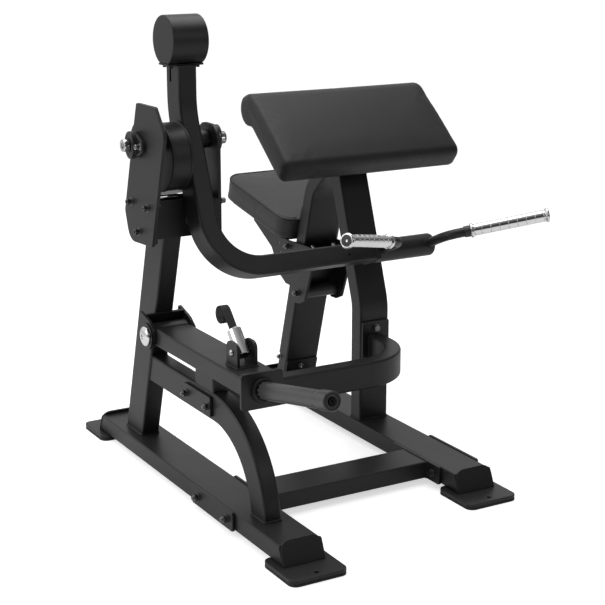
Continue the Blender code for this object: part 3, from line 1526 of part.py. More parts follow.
def strut_line():
    """Upper eye on the leg's side and the direction down to the carriage, parallel to the leg."""
    x = beam_width / 2 + cheek_clearance + cheek_thickness + strut_radius + side_play
    top = leg_point(strut_top_along, leg_depth) + X * x
    return top, -leg_direction()


def build_strut():
    top, down = strut_line()
    body_start = strut_body_start
    body_end = body_start + strut_length
    frame = frame_at(top, X, down)
    rod_end = body_start + carriage_travel + 0.040
    eye = strut_rod_radius + rest_gap
    rod = [(0, eye), (strut_rod_radius, eye), (strut_rod_radius, rod_end), (0, rod_end)]
    turned("strut_rod", rod, frame, look["chrome"], 16)
    bore = bore_over(strut_rod_radius, 16)
    radius = strut_radius
    cylinder = [(bore, body_start), (radius - 0.002, body_start), (radius, body_start + 0.003),
                (radius, body_end - 0.003), (radius - 0.003, body_end), (0, body_end), (0, body_end - 0.006),
                (bore, body_end - 0.006)]
    body = turned("strut_cylinder", cylinder, frame, look["coat"], 16, closed=True)
    carriage_parts(body)
    mount = top + down * (body_start + strut_stud_along)
    inner = mount - X * (radius + side_play - rest_gap)
    stud = rod_mesh(inner, mount - X * (radius - 0.003), strut_stud_radius, 16)
    combine(body, stud, "UNION")
    leg = bpy.data.objects["seat_leg"]
    side = module_spacing + beam_width / 2 - weld_overlap
    mount_point = leg_point(strut_top_along, leg_depth * 0.5)
    middle = Vector((side, (mount_point.y + top.y) / 2, (mount_point.z + top.z) / 2))
    tab = plate_mesh(rectangle(0.050, 0.030, 0.008), 0.006, frame_at(middle, leg_normal(), X))
    combine(leg, tab, "UNION")
    pin = rod_mesh((side + 0.003, top.y, top.z), (top.x + 0.008, top.y, top.z), strut_stud_radius, 16)
    combine(leg, pin, "UNION")


def place_root():
    """Moves the floor point under the middle of the machine to the origin."""
    left = -plate_outer - shaft_overhang
    inner, outer = grip_line(1)
    along = (outer - inner).normalized()
    right = outer.x + (grip_cap_radius - grip_cap_chamfer) * hypot(along.y, along.z)
    horn = horn_start() + horn_direction() * horn_length
    front = horn.y - (collar_end_radius - collar_end_taper) * sin(horn_tilt)
    base_rear = base_front + base_stagger + base_length + foot_overhang
    seat_drop = (seat_thickness - seat_foot_rise) * sin(seat_tilt)
    seat_rear = seat_front_y + (seat_length - seat_foot_inset) * cos(seat_tilt) + seat_drop
    rear = max(base_rear, seat_rear)
    root.location = (-(left + right) / 2, -(front + rear) / 2, 0)
    print("root moved by", [round(v, 5) for v in root.location])


clear_scene()
root = make_root()
look = make_finishes()
build_foot_pads()
build_base_beams()
build_cross_beam()
build_rear_post()
build_head_block()
build_pivot_plates()
build_bearings()
build_rest_bumper()
build_lever_bracket()
build_arch()
build_stop_pad()
build_crossbar()
build_pad_post()
build_seat_leg()
build_rail()
build_arm()
build_arm_shaft()
build_cam()
build_counterweight()
build_handle_hub()
build_grips()
build_lever()
build_horn()
build_clevis()
build_anchor()
build_strap()
build_carriage()
build_seat()
build_arm_pad()
build_pad_plate()
build_strut()
place_root()
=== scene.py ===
import json
from math import atan2, cos, pi, radians, sin, sqrt, tan

import bmesh
import bpy
import numpy as np
from mathutils import Matrix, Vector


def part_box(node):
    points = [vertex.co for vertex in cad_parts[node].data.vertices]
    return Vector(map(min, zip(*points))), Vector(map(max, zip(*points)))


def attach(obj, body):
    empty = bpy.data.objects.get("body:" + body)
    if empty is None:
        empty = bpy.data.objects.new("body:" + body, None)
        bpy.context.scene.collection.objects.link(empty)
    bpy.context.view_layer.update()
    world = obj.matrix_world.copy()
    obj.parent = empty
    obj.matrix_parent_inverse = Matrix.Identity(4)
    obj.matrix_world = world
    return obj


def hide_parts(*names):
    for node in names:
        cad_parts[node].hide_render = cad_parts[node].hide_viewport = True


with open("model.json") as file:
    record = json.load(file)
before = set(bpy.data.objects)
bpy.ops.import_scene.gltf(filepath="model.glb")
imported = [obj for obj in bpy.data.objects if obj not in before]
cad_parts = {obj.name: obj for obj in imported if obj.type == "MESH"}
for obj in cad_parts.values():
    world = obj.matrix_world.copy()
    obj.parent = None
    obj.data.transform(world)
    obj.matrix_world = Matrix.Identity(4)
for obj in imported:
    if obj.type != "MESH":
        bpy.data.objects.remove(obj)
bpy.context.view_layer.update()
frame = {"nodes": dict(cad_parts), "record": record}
print("frame loaded with", len(frame["nodes"]), "nodes")

# Shapes are worked out in the maker's own measure: X = 0 at the middle of the left base beam,
# Y = 0 and Z = 0.98 on the arm's pivot, Z = 0 on the floor. shift carries them into the row frame.
shaftLow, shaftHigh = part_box("arm_shaft")
shift = np.array([(shaftLow.x + shaftHigh.x) / 2, (shaftLow.y + shaftHigh.y) / 2, 0.0])
xWay, yWay, zWay = np.eye(3)
bodyOf = {node: body for body, nodes in frame["record"]["behaviour"]["bodies"].items() for node in nodes}
sides = ((-1, "left"), (1, "right"))
# neighbouring solids stand this far apart
gap = 0.0003
# a tube's path starts and ends this far inside its end planes
endRoom = 0.05


# Places and outlines

def unit(v):
    v = np.asarray(v, float)
    return v / np.maximum(np.linalg.norm(v, axis=-1, keepdims=True), 1e-12)


def placeAt(origin, side, along):
    # 4x4 place: first axis side, third axis along, second axis completes them
    w = unit(along)
    u = unit(np.asarray(side, float) - w * np.dot(side, w))
    place = np.eye(4)
    place[:3, 0], place[:3, 1], place[:3, 2], place[:3, 3] = u, np.cross(w, u), w, origin
    return place


def acrossAt(origin):
    # looks along X with Z first
    return placeAt(origin, zWay, xWay)


def sideAt(origin):
    # looks along X with Y first
    return placeAt(origin, yWay, xWay)


def uprightAt(origin):
    # looks along Z with X first
    return placeAt(origin, xWay, zWay)


def moved(place, u=0.0, v=0.0, w=0.0):
    step = np.eye(4)
    step[:3, 3] = u, v, w
    return place @ step


def carried(rows, place):
    # rings of points (u, v, w), each one number or one per point, from the place's own axes into the frame
    rings = np.array([np.stack(np.broadcast_arrays(u, v, w, 1.0), -1) for u, v, w in rows])
    return (rings @ place.T)[..., :3]


def angles(steps):
    return np.arange(steps) * 2 * pi / steps


def turned(rows, t, place):
    # rings of (radius, distance along) at the angles t about the place's third axis
    return carried([(r * np.cos(t), r * np.sin(t), w) for r, w in rows], place)


def rounded(corners, steps):
    # outline through corners (u, v, radius): each is an arc whose centre is radius / sin(half angle) inwards
    c = np.array(corners, float)
    here, radius = c[:, :2], c[:, 2:3]
    a = unit(np.roll(here, 1, 0) - here)
    b = unit(np.roll(here, -1, 0) - here)
    half = np.arccos(np.clip((a * b).sum(1, keepdims=True), -0.999999, 0.999999)) / 2
    centre = here + unit(a + b) * radius / np.sin(half)
    first = here + a * radius / np.tan(half) - centre
    last = here + b * radius / np.tan(half) - centre
    turn = np.arctan2(first[:, 0] * last[:, 1] - first[:, 1] * last[:, 0], (first * last).sum(1))
    t = turn[:, None] * np.linspace(0, 1, steps + 1)
    u = centre[:, :1] + first[:, :1] * np.cos(t) - first[:, 1:] * np.sin(t)
    v = centre[:, 1:] + first[:, :1] * np.sin(t) + first[:, 1:] * np.cos(t)
    points = np.stack([u.ravel(), v.ravel()], 1)
    return points[np.linalg.norm(points - np.roll(points, 1, 0), axis=1) > 1e-7]


def rectangle(width, height, radius, steps=6):
    u, v = width / 2, height / 2
    return rounded([(-u, -v, radius), (u, -v, radius), (u, v, radius), (-u, v, radius)], steps)


def circle(radius, steps):
    t = angles(steps)
    return np.stack([radius * np.cos(t), radius * np.sin(t)], 1)


def inset(outline, depth):
    # each point moves inwards along the mean normal of its two neighbours
    along = unit(np.roll(outline, -1, 0) - np.roll(outline, 1, 0))
    x, y = outline[:, 0], outline[:, 1]
    area = (x * np.roll(y, -1) - y * np.roll(x, -1)).sum() / 2
    return outline + np.stack([-along[:, 1], along[:, 0]], 1) * depth * np.sign(area)


def follow(start, moves):
    # places along a path of straight runs (length,) and bends (radius, angle, (u, v) of the centre, steps):
    # in a bend the section turns about the axis through radius * (u, v), at right angles to it
    places, here = [start[None]], start
    for move in moves:
        if len(move) == 1:
            made = moved(here, w=move[0])[None]
        else:
            radius, angle, (cu, cv), steps = move
            t = np.linspace(0, angle, steps + 1)[1:]
            axis = np.array([-cv, cu, 0.0])
            k = np.array([[0, -axis[2], axis[1]], [axis[2], 0, -axis[0]], [-axis[1], axis[0], 0]])
            turn = np.tile(np.eye(4), (steps, 1, 1))
            s, c = np.sin(t)[:, None, None], np.cos(t)[:, None, None]
            turn[:, :3, :3] = np.eye(3) + s * k + (1 - c) * (k @ k)
            centre = np.array([radius * cu, radius * cv, 0.0])
            turn[:, :3, 3] = centre - turn[:, :3, :3] @ centre
            made = here @ turn
        places.append(made)
        here = made[-1]
    return np.concatenate(places)


# Shells: (points, faces) pairs that addPiece joins into one mesh

def gridShell(points, loop=False, caps=True):
    # rings of points become quads between each ring and the next; open ends get a cap
    rows, cols = points.shape[:2]
    index = np.arange(rows * cols).reshape(rows, cols)
    index = np.concatenate([index, index[:, :1]], 1)
    if loop:
        index = np.concatenate([index, index[:1]], 0)
    quads = np.stack([index[:-1, :-1], index[:-1, 1:], index[1:, 1:], index[1:, :-1]], -1).reshape(-1, 4)
    faces = quads.tolist()
    if caps and not loop:
        for ring, order in ((0, -1), (rows - 1, 1)):
            if np.ptp(points[ring], axis=0).max() > 1e-6:
                faces.append((np.arange(cols)[::order] + ring * cols).tolist())
    return points.reshape(-1, 3), faces


def sweepPoints(section, places, startPlane=None, endPlane=None):
    # the section, drawn in u and v, is carried through every place of the path; an end ring slides
    # along its own path direction on to a plane (point, normal)
    flat = np.concatenate([section, np.zeros((len(section), 1)), np.ones((len(section), 1))], 1)
    points = (places @ flat.T).transpose(0, 2, 1)[..., :3]
    for ring, plane in ((0, startPlane), (-1, endPlane)):
        if plane is not None:
            point, normal = np.asarray(plane[0], float), np.asarray(plane[1], float)
            way = places[ring][:3, 2]
            points[ring] += way * (((point - points[ring]) @ normal) / (way @ normal))[:, None]
    return points


def sweep(section, places, startPlane=None, endPlane=None):
    return gridShell(sweepPoints(section, places, startPlane, endPlane))


def lathe(profile, place, steps=72, closed=False):
    # (radius, distance along) turned about the place's third axis
    return gridShell(turned(profile, angles(steps), place), loop=closed)


def pinProfile(radius, low, high):
    return [(0, low), (radius, low), (radius, high), (0, high)]


def wallProfile(inner, outer, low, high, radii, steps):
    # a tube's wall from low to high, its four corners rounded
    corners = ((inner, low), (outer, low), (outer, high), (inner, high))
    return rounded([(*corner, radius) for corner, radius in zip(corners, radii)], steps)


def bothEnds(half):
    # the profile of a pin from its half and the mirror image of that
    return [(r, -w) for r, w in half[::-1]] + half


def plateShell(outline, thickness, place, edge=0.001, holes=()):
    # flat plate whose rims, also those of its round holes (u, v, radius), draw in along quarter circles
    loops = [outline] + [circle(r, 40)[::-1] + (u, v) for u, v, r in holes]
    edge = min(edge, thickness * 0.45)
    t = np.linspace(0, pi / 2, 5)
    draw = np.concatenate([1 - np.sin(t), 1 - np.sin(t[::-1])]) * edge
    height = np.concatenate([edge * (1 - np.cos(t)), thickness - edge * (1 - np.cos(t[::-1]))])
    points, faces, rims, start = [], [], [], 0
    for number, outlineLoop in enumerate(loops):
        sign, count = 1 if number == 0 else -1, len(outlineLoop)
        rings = np.stack([np.column_stack([inset(outlineLoop, sign * d), np.full(count, h)])
                          for d, h in zip(draw, height)])
        made, quads = gridShell(rings, caps=False)
        points.append(made)
        faces += (np.array(quads) + start).tolist()
        rims.append((start, start + len(made) - count, count))
        start += len(made)
    points = np.concatenate(points)
    for top in (0, 1):
        ids = np.concatenate([np.arange(rim[2]) + rim[top] for rim in rims])
        if len(rims) == 1:
            faces.append(ids.tolist())
        else:
            faces += filled(points[ids, :2], [rim[2] for rim in rims], ids)
    return carried([points.T], place)[0], faces


def filled(flat, counts, ids):
    # triangles that fill an outline with holes
    bm = bmesh.new()
    verts = [bm.verts.new((u, v, 0)) for u, v in flat]
    start = 0
    for count in counts:
        ring = verts[start:start + count]
        for a, b in zip(ring, ring[1:] + ring[:1]):
            bm.edges.new((a, b))
        start += count
    bm.verts.index_update()
    bmesh.ops.triangle_fill(bm, edges=bm.edges[:], use_beauty=True, use_dissolve=False)
    made = [[int(ids[v.index]) for v in face.verts] for face in bm.faces]
    bm.free()
    return made


# Bolts: every measure but the thread's pitch is a share of the thread's size
bolt = {"across": 1.5, "ring": 1.0, "screwRing": 1.05, "bore": 0.52, "lift": 0.17, "head": 0.62, "nut": 0.8,
        "screwHead": 0.85, "socket": 0.8, "pitch": 0.00175}


def threadedRod(place, radius, length):
    # a rod whose radius dips in a V once per pitch, on a helix: the phase is turn plus distance
    pitch, t = bolt["pitch"], angles(32)
    w = np.linspace(0, length, int(length / pitch * 6))[:, None] + 0 * t
    phase = (w / pitch + t / (2 * pi)) % 1
    r = radius * 0.95 - pitch * 0.42 * np.abs(phase * 2 - 1) + pitch * 0.2
    return gridShell(turned(zip(r, w), t, place))


def boltHead(place, across, height, socket=0.0, hexagon=True, steps=60):
    # outer wall: the smaller of the hexagon's radius and a chamfer cone's; then a flat top and, for a
    # socket screw, a six-sided hole down to a shallow cone
    t = angles(steps)
    sixth = np.abs((t + pi / 6) % (pi / 3) - pi / 6)
    outer = across / 2 / np.cos(sixth) if hexagon else np.full(steps, across / 2)
    rim, draw = (0.99, 0.34) if hexagon else (0.93, 0.16)
    rows = [(0.0, 0.0)]
    for share in (0, 0.02, 0.75, 0.82, 0.89, 0.95, 0.98, 1.0):
        cone = across / 2 * rim + across * draw * sqrt(max(1 - share, 0)) * 0.6
        rows.append((np.minimum(outer, cone), share * height))
    if socket:
        six = socket / 2 / np.cos(sixth)
        rows += [(six * 1.06 + 0.0002, height), (six, height * 0.95), (six * 0.99, height * 0.45)]
    rows.append((0.0, height * (0.36 if socket else 1.0)))
    return gridShell(turned(rows, t, place), caps=False)


def washer(place, radius, bore, thickness):
    edge = thickness * 0.3
    return lathe(wallProfile(bore, radius, 0, thickness, [edge] * 4, 3), place, 48, closed=True)


def seated(place, size, ring="ring"):
    # the washer on a surface that place looks out of, and the place on top of it
    lift = size * bolt["lift"]
    return washer(place, size * bolt[ring], size * bolt["bore"], lift), moved(place, w=lift)


def hexBolt(place, size):
    ring, top = seated(place, size)
    return [ring, boltHead(top, size * bolt["across"], size * bolt["head"])]


def capScrew(place, size, height=None):
    ring, top = seated(place, size, "screwRing")
    height = height or size * bolt["screwHead"]
    return [ring, boltHead(top, size * bolt["across"], height, size * bolt["socket"], False)]


def hexNut(place, size, tail=0.006):
    # nut on a washer with the bolt's threaded end standing out of it
    ring, top = seated(place, size)
    half = size * bolt["nut"] / 2
    rod = threadedRod(moved(top, w=half), size / 2, half + tail)
    return [ring, boltHead(top, size * bolt["across"], 2 * half), rod]


# Weld beads

def weldBead(path, out, radius=0.0028, pitch=0.0045):
    # a round bead along a closed path: its radius swells by a tenth once per pitch, as laid ripples do
    steps = np.linalg.norm(np.roll(path, -1, 0) - path, axis=1)
    run = np.concatenate([[0], np.cumsum(steps)])
    count = max(int(run[-1] / pitch * 4), 12)
    s = np.arange(count) * run[-1] / count
    closedPath = np.concatenate([path, path[:1]])
    centre = np.stack([np.interp(s, run, closedPath[:, k]) for k in range(3)], 1)
    along = unit(np.roll(centre, -1, 0) - np.roll(centre, 1, 0))
    out = np.broadcast_to(out, centre.shape)
    u = unit(out - along * (out * along).sum(1, keepdims=True))
    v, t = np.cross(along, u), angles(8)
    turns = round(run[-1] / pitch)
    size = radius * (1 + 0.10 * np.cos(2 * pi * turns * s / run[-1]))[:, None, None]
    points = centre[:, None] + size * (u[:, None] * np.cos(t)[:, None] + v[:, None] * np.sin(t)[:, None])
    return gridShell(points, loop=True)


def weldRim(section, place, way, step, radius=0.0028):
    # a bead round a tube's end, moved along way by step
    return weldBead(sweepPoints(section, place[None])[0] + way * step, way, radius)


def weldOn(section, place, point, normal, radius=0.0028, out=None):
    # a bead where a tube's outside meets the plane through point
    path = sweepPoints(section, place[None], (point, normal))[0]
    return weldBead(path, normal if out is None else out, radius)


def ringPath(place, radius, steps=48):
    return carried([(*circle(radius, steps).T, 0)], place)[0]


# Pieces

def newObject(name, data):
    made = bpy.data.objects.new(name, data)
    bpy.context.scene.collection.objects.link(made)
    return made


def shellMesh(name, shells, near=0.0, thin=0.0):
    # shells as one mesh in the row frame: points closer than near are joined, edges shorter than thin go
    points, faces, start = [], [], 0
    for shellPoints, shellFaces in shells:
        points.append(shellPoints + shift)
        faces += [[i + start for i in face] for face in shellFaces]
        start += len(shellPoints)
    mesh = bpy.data.meshes.new(name)
    mesh.from_pydata(np.concatenate(points).tolist(), [], faces)
    bm = bmesh.new()
    bm.from_mesh(mesh)
    if near:
        bmesh.ops.remove_doubles(bm, verts=bm.verts[:], dist=near)
    if thin:
        bmesh.ops.dissolve_degenerate(bm, edges=bm.edges[:], dist=thin)
    bmesh.ops.recalc_face_normals(bm, faces=bm.faces[:])
    bm.to_mesh(mesh)
    bm.free()
    return mesh


def addPiece(name, shells, finish, where, sharp=34, near=2e-7, thin=1e-8):
    return placePiece(name, shellMesh(name, shells, near, thin), finish, where, sharp)


def placePiece(name, mesh, finish, where, sharp):
    # where is the node that the piece replaces, or else the body that it rides on
    mesh.shade_smooth()
    mesh.set_sharp_from_angle(angle=radians(sharp))
    mesh.materials.clear()
    mesh.materials.append(finishes[finish][0])
    made = newObject(name, mesh)
    made.modifiers.new("faceted light", "WEIGHTED_NORMAL").keep_sharp = True
    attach(made, bodyOf.get(where, where))
    if where in bodyOf:
        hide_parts(where)
    return made


def settled(made):
    # the mesh as its modifiers leave it
    graph = bpy.context.evaluated_depsgraph_get()
    return bpy.data.meshes.new_from_object(made.evaluated_get(graph))


def carve(made, cutters):
    # cuts shells out of a finished piece
    tool = newObject("cutter", shellMesh("cutter", cutters))
    made.modifiers.clear()
    cut = made.modifiers.new("cut", "BOOLEAN")
    cut.operation, cut.solver, cut.object = "DIFFERENCE", "EXACT", tool
    mesh = settled(made)
    made.modifiers.clear()
    made.data = mesh
    mesh.set_sharp_from_angle(angle=radians(34))
    bpy.data.objects.remove(tool, do_unlink=True)
    made.modifiers.new("faceted light", "WEIGHTED_NORMAL").keep_sharp = True


# Materials. Shared effects are groups that give heights, masks and colours; each shader stays outside.

def feed(tree, sockets, values):
    # each named socket takes a link or a plain value
    for key, value in values.items():
        if isinstance(value, bpy.types.NodeSocket):
            tree.links.new(value, sockets[key])
        else:
            sockets[key].default_value = value


def addNode(tree, kind, inputs=None, **settings):
    node = tree.nodes.new(kind)
    for key, value in settings.items():
        setattr(node, key, value)
    feed(tree, node.inputs, inputs or {})
    return node


def makeGroup(name, knob, value, outputs):
    # inputs are the place and one more number; every output is a number
    group = bpy.data.node_groups.new(name, "ShaderNodeTree")
    group.interface.new_socket("Vector", in_out="INPUT", socket_type="NodeSocketVector")
    group.interface.new_socket(knob, in_out="INPUT", socket_type="NodeSocketFloat").default_value = value
    for title in outputs:
        group.interface.new_socket(title, in_out="OUTPUT", socket_type="NodeSocketFloat")
    groups[name] = group
    given = group.nodes.new("NodeGroupInput").outputs
    return group, given["Vector"], given[knob], group.nodes.new("NodeGroupOutput").inputs


def math(tree, operation, a, b=None, clamp=False):
    inputs = {0: a} if b is None else {0: a, 1: b}
    return addNode(tree, "ShaderNodeMath", inputs, operation=operation, use_clamp=clamp).outputs[0]


def noise(tree, vector, scale, detail, rough=0.55):
    inputs = {"Vector": vector, "Scale": scale, "Detail": detail, "Roughness": rough}
    return addNode(tree, "ShaderNodeTexNoise", inputs).outputs["Fac"]


def makeGroups():
    # orange peel of sprayed or dipped finishes: two sizes of noise, one for the height, one for the tone
    group, vector, scale, result = makeGroup("orangePeel", "Scale", 700.0, ("Height", "Tone"))
    feed(group, result, {"Height": noise(group, vector, scale, 2.0, 0.45),
                         "Tone": noise(group, vector, 9.0, 4.0, 0.6)})

    # fine scratches: noise stretched along two crossed directions, kept only where it peaks
    group, vector, amount, result = makeGroup("fineScratches", "Amount", 1.0, ("Mask", "Height"))
    masks = []
    for turn, stretch in (((0.3, 0.2, 0.9), (900, 900, 14)), ((1.1, 0.7, 0.1), (12, 800, 800))):
        mapped = addNode(group, "ShaderNodeMapping", {"Vector": vector, "Rotation": turn, "Scale": stretch})
        peaks = math(group, "SUBTRACT", noise(group, mapped.outputs[0], 1.0, 2.0, 0.5), 0.56, True)
        masks.append(math(group, "MULTIPLY", peaks, 5.0, True))
    mask = math(group, "MULTIPLY", math(group, "MAXIMUM", *masks), amount)
    feed(group, result, {"Mask": mask, "Height": math(group, "SUBTRACT", 0.5, mask)})

    # leather grain: the ridges between cells of one size, bent and softened by a little noise
    group, vector, scale, result = makeGroup("leatherGrain", "Scale", 520.0, ("Height", "Tone"))
    coarse = addNode(group, "ShaderNodeTexNoise", {"Vector": vector, "Scale": 130.0, "Detail": 2.0})
    warped = addNode(group, "ShaderNodeMix", {"Factor": 0.0016, "A": vector, "B": coarse.outputs["Color"]},
                     data_type="VECTOR")
    cells = addNode(group, "ShaderNodeTexVoronoi", {"Vector": warped.outputs["Result"], "Scale": scale},
                    feature="DISTANCE_TO_EDGE").outputs["Distance"]
    pebble = math(group, "MULTIPLY", math(group, "MULTIPLY", cells, 3.2, True), 0.75)
    soft = math(group, "MULTIPLY", noise(group, vector, 300.0, 3.0), 0.25)
    feed(group, result, {"Height": math(group, "ADD", pebble, soft), "Tone": noise(group, vector, 11.0, 3.0)})

    # dust: what faces up, broken by noise
    group, vector, amount, result = makeGroup("settledDust", "Amount", 0.5, ("Mask",))
    normal = addNode(group, "ShaderNodeNewGeometry").outputs["Normal"]
    up = addNode(group, "ShaderNodeSeparateXYZ", {0: normal}).outputs["Z"]
    up = math(group, "MULTIPLY", math(group, "SUBTRACT", up, 0.35, True), 1.5, True)
    speck = math(group, "MULTIPLY", noise(group, vector, 420.0, 2.0, 0.6), 0.35)
    cloud = math(group, "ADD", noise(group, vector, 24.0, 5.0, 0.65), speck)
    mask = math(group, "MULTIPLY", up, math(group, "MULTIPLY", cloud, 0.75))
    feed(group, result, {"Mask": math(group, "MULTIPLY", mask, amount, True)})


def groupNode(tree, name, inputs):
    return addNode(tree, "ShaderNodeGroup", inputs, node_tree=groups[name]).outputs


def newMaterial(name, metallic=0.0, **plain):
    material = bpy.data.materials.new(name)
    material.use_nodes = True
    tree = material.node_tree
    inputs = tree.nodes["Principled BSDF"].inputs
    feed(tree, inputs,
         {"Metallic": metallic, **{key.replace("_", " "): value for key, value in plain.items()}})
    return material, tree, inputs


def objectPlace(tree):
    return addNode(tree, "ShaderNodeTexCoord").outputs["Object"]


def mixColour(tree, mask, low, high):
    # low where the mask is 0, high where it is 1; sockets 6 and 7 are the colours of a mix node
    return addNode(tree, "ShaderNodeMix", {0: mask, 6: low, 7: high}, data_type="RGBA").outputs[2]


def blendColour(tree, mask, low, high):
    return mixColour(tree, mask, (*low, 1), (*high, 1))


def spread(tree, value, low, high):
    inputs = {"Value": value, "To Min": low, "To Max": high}
    return addNode(tree, "ShaderNodeMapRange", inputs).outputs["Result"]


def bump(tree, height, distance, strength):
    inputs = {"Height": height, "Distance": distance, "Strength": strength}
    return addNode(tree, "ShaderNodeBump", inputs).outputs["Normal"]


def makeGrained(name, dark, light, rough, scale, depth, dust=0.2, metallic=0.0, pattern="orangePeel",
                roughBy="Height", strength=0.7, dustTone=(0.06, 0.06, 0.06), **plain):
    # coat, vinyl, rubber, nylon or board: grain and cloudy tone of their own scale, a trace of dust on top
    material, tree, shader = newMaterial(name, metallic, **plain)
    place = objectPlace(tree)
    grain = groupNode(tree, pattern, {"Vector": place, "Scale": scale})
    settledMask = groupNode(tree, "settledDust", {"Vector": place, "Amount": dust})["Mask"]
    colour = blendColour(tree, grain["Tone"], dark, light)
    feed(tree, shader, {"Base Color": mixColour(tree, settledMask, colour, (*dustTone, 1)),
                        "Roughness": spread(tree, grain[roughBy], *rough),
                        "Normal": bump(tree, grain["Height"], depth, strength)})
    return material


def makeChrome(name, base, roughLow, roughHigh, amount):
    # plated or polished steel with hairline scratches
    material, tree, shader = newMaterial(name, 1.0)
    place = objectPlace(tree)
    scratch = groupNode(tree, "fineScratches", {"Vector": place, "Amount": amount})
    tone = groupNode(tree, "orangePeel", {"Vector": place, "Scale": 240.0})["Tone"]
    lift = math(tree, "MULTIPLY", scratch["Mask"], 0.12)
    feed(tree, shader, {"Base Color": blendColour(tree, tone, tuple(c * 0.93 for c in base), base),
                        "Roughness": math(tree, "ADD", spread(tree, tone, roughLow, roughHigh), lift),
                        "Normal": bump(tree, scratch["Height"], 0.00002, 0.5)})
    return material


webbing = {"acrossThreads": 9, "alongThreads": 480, "dark": (0.006, 0.006, 0.006),
           "light": (0.022, 0.022, 0.023), "rough": 0.72, "depth": 0.0004}


def makeWebbing():
    # woven band: two crossed waves on the band's own map, one thread up where the other goes down
    material, tree, shader = newMaterial("black webbing", Roughness=webbing["rough"])
    flat = addNode(tree, "ShaderNodeUVMap", uv_map="band").outputs["UV"]
    parts = addNode(tree, "ShaderNodeSeparateXYZ", {0: flat}).outputs
    across = math(tree, "SINE", math(tree, "MULTIPLY", parts["X"], 2 * pi * webbing["acrossThreads"]))
    along = math(tree, "SINE", math(tree, "MULTIPLY", parts["Y"], 2 * pi * webbing["alongThreads"]))
    weave = math(tree, "ADD", math(tree, "MULTIPLY", math(tree, "MULTIPLY", across, along), 0.5), 0.5)
    feed(tree, shader, {"Base Color": blendColour(tree, weave, webbing["dark"], webbing["light"]),
                        "Normal": bump(tree, weave, webbing["depth"], 0.9)})
    return material


coat = {"dark": (0.0100, 0.0100, 0.0105), "light": (0.0150, 0.0150, 0.0155), "rough": (0.36, 0.46),
        "roughBy": "Tone", "scale": 820.0, "depth": 0.00006, "strength": 0.6, "dust": 0.24,
        "dustTone": (0.050, 0.050, 0.051), "Specular_IOR_Level": 0.36}
vinyl = {"rough": (0.48, 0.36), "pattern": "leatherGrain", "scale": 560.0, "depth": 0.00022, "dust": 0.20,
         "dustTone": (0.045, 0.045, 0.046), "Specular_IOR_Level": 0.34}


def makeFinishes():
    # finish: (material, slot); a grained one has dark and light tone, roughness, scale, depth, dust, metal
    return {
        "coat": (makeGrained("black powder coat", **coat), "coat"),
        "vinyl": (makeGrained("black pad vinyl", (0.0120, 0.0120, 0.0125), (0.0185, 0.0185, 0.0190),
                              **vinyl), "vinyl"),
        # the seat's vinyl is the pad's black vinyl made lighter: its colour holds painted light for the
        # seat's lit top
        "seatVinylPaintedLight": (makeGrained("black seat vinyl with painted light", (0.032, 0.032, 0.033), (0.044, 0.044, 0.045),
                                  **vinyl), "vinyl"),
        "chrome": (makeChrome("polished chrome", (0.80, 0.80, 0.81), 0.06, 0.12, 0.5), "chrome"),
        "grip": (makeChrome("polished grip steel", (0.82, 0.82, 0.83), 0.09, 0.15, 0.12), "chrome"),
        "zinc": (makeChrome("dark plated steel", (0.16, 0.16, 0.17), 0.24, 0.36, 0.8), "oxide"),
        "oxide": (makeGrained("black oxide steel", (0.020, 0.020, 0.021), (0.032, 0.032, 0.033), (0.26, 0.38),
                              900.0, 0.00003, 0.05, 0.85), "oxide"),
        "rubber": (makeGrained("black rubber", (0.010, 0.010, 0.010), (0.016, 0.016, 0.016), (0.66, 0.82),
                               1300.0, 0.00012), "rubber"),
        "nylon": (makeGrained("dark grey nylon", (0.020, 0.020, 0.021), (0.030, 0.030, 0.031), (0.36, 0.48),
                              1100.0, 0.00005), "nylon"),
        "board": (makeGrained("black painted board", (0.010, 0.010, 0.010), (0.018, 0.018, 0.018),
                              (0.55, 0.70), 300.0, 0.00015), "board"),
        "webbing": (makeWebbing(), "webbing"),
        "housing": (makeGrained("cast bearing housing", (0.026, 0.026, 0.027), (0.040, 0.040, 0.041),
                                (0.34, 0.46), 500.0, 0.00010, 0.1, 0.3), "oxide"),
        "bright": (makeChrome("bright zinc", (0.46, 0.46, 0.47), 0.18, 0.28, 0.8), "oxide"),
        "sleeve": (makeGrained("grey sleeve nylon", (0.038, 0.038, 0.039), (0.048, 0.048, 0.049),
                               (0.30, 0.42), 1100.0, 0.00004), "nylon"),
    }


groups = {}
makeGroups()
finishes = makeFinishes()
print("materials made")


# Base beams on their rubber feet

base = {
    "spacing": 0.657, "width": 0.120, "height": 0.050, "corner": 0.005, "rubber": 0.007,
    "plate": 0.010, "footWidth": 0.164, "footLength": 0.156, "footCorner": 0.022, "overhang": 0.078,
    "hole": 0.006, "holeInset": 0.024, "length": 1.183, "front": -0.715, "stagger": 0.173,
    "capLean": radians(23), "cap": 0.006, "capRise": 0.012, "capCorner": 0.028,
}
beamBottom = base["rubber"] + base["plate"] + gap
beamTop = beamBottom + base["height"]
beamMiddle = (beamBottom + beamTop) / 2


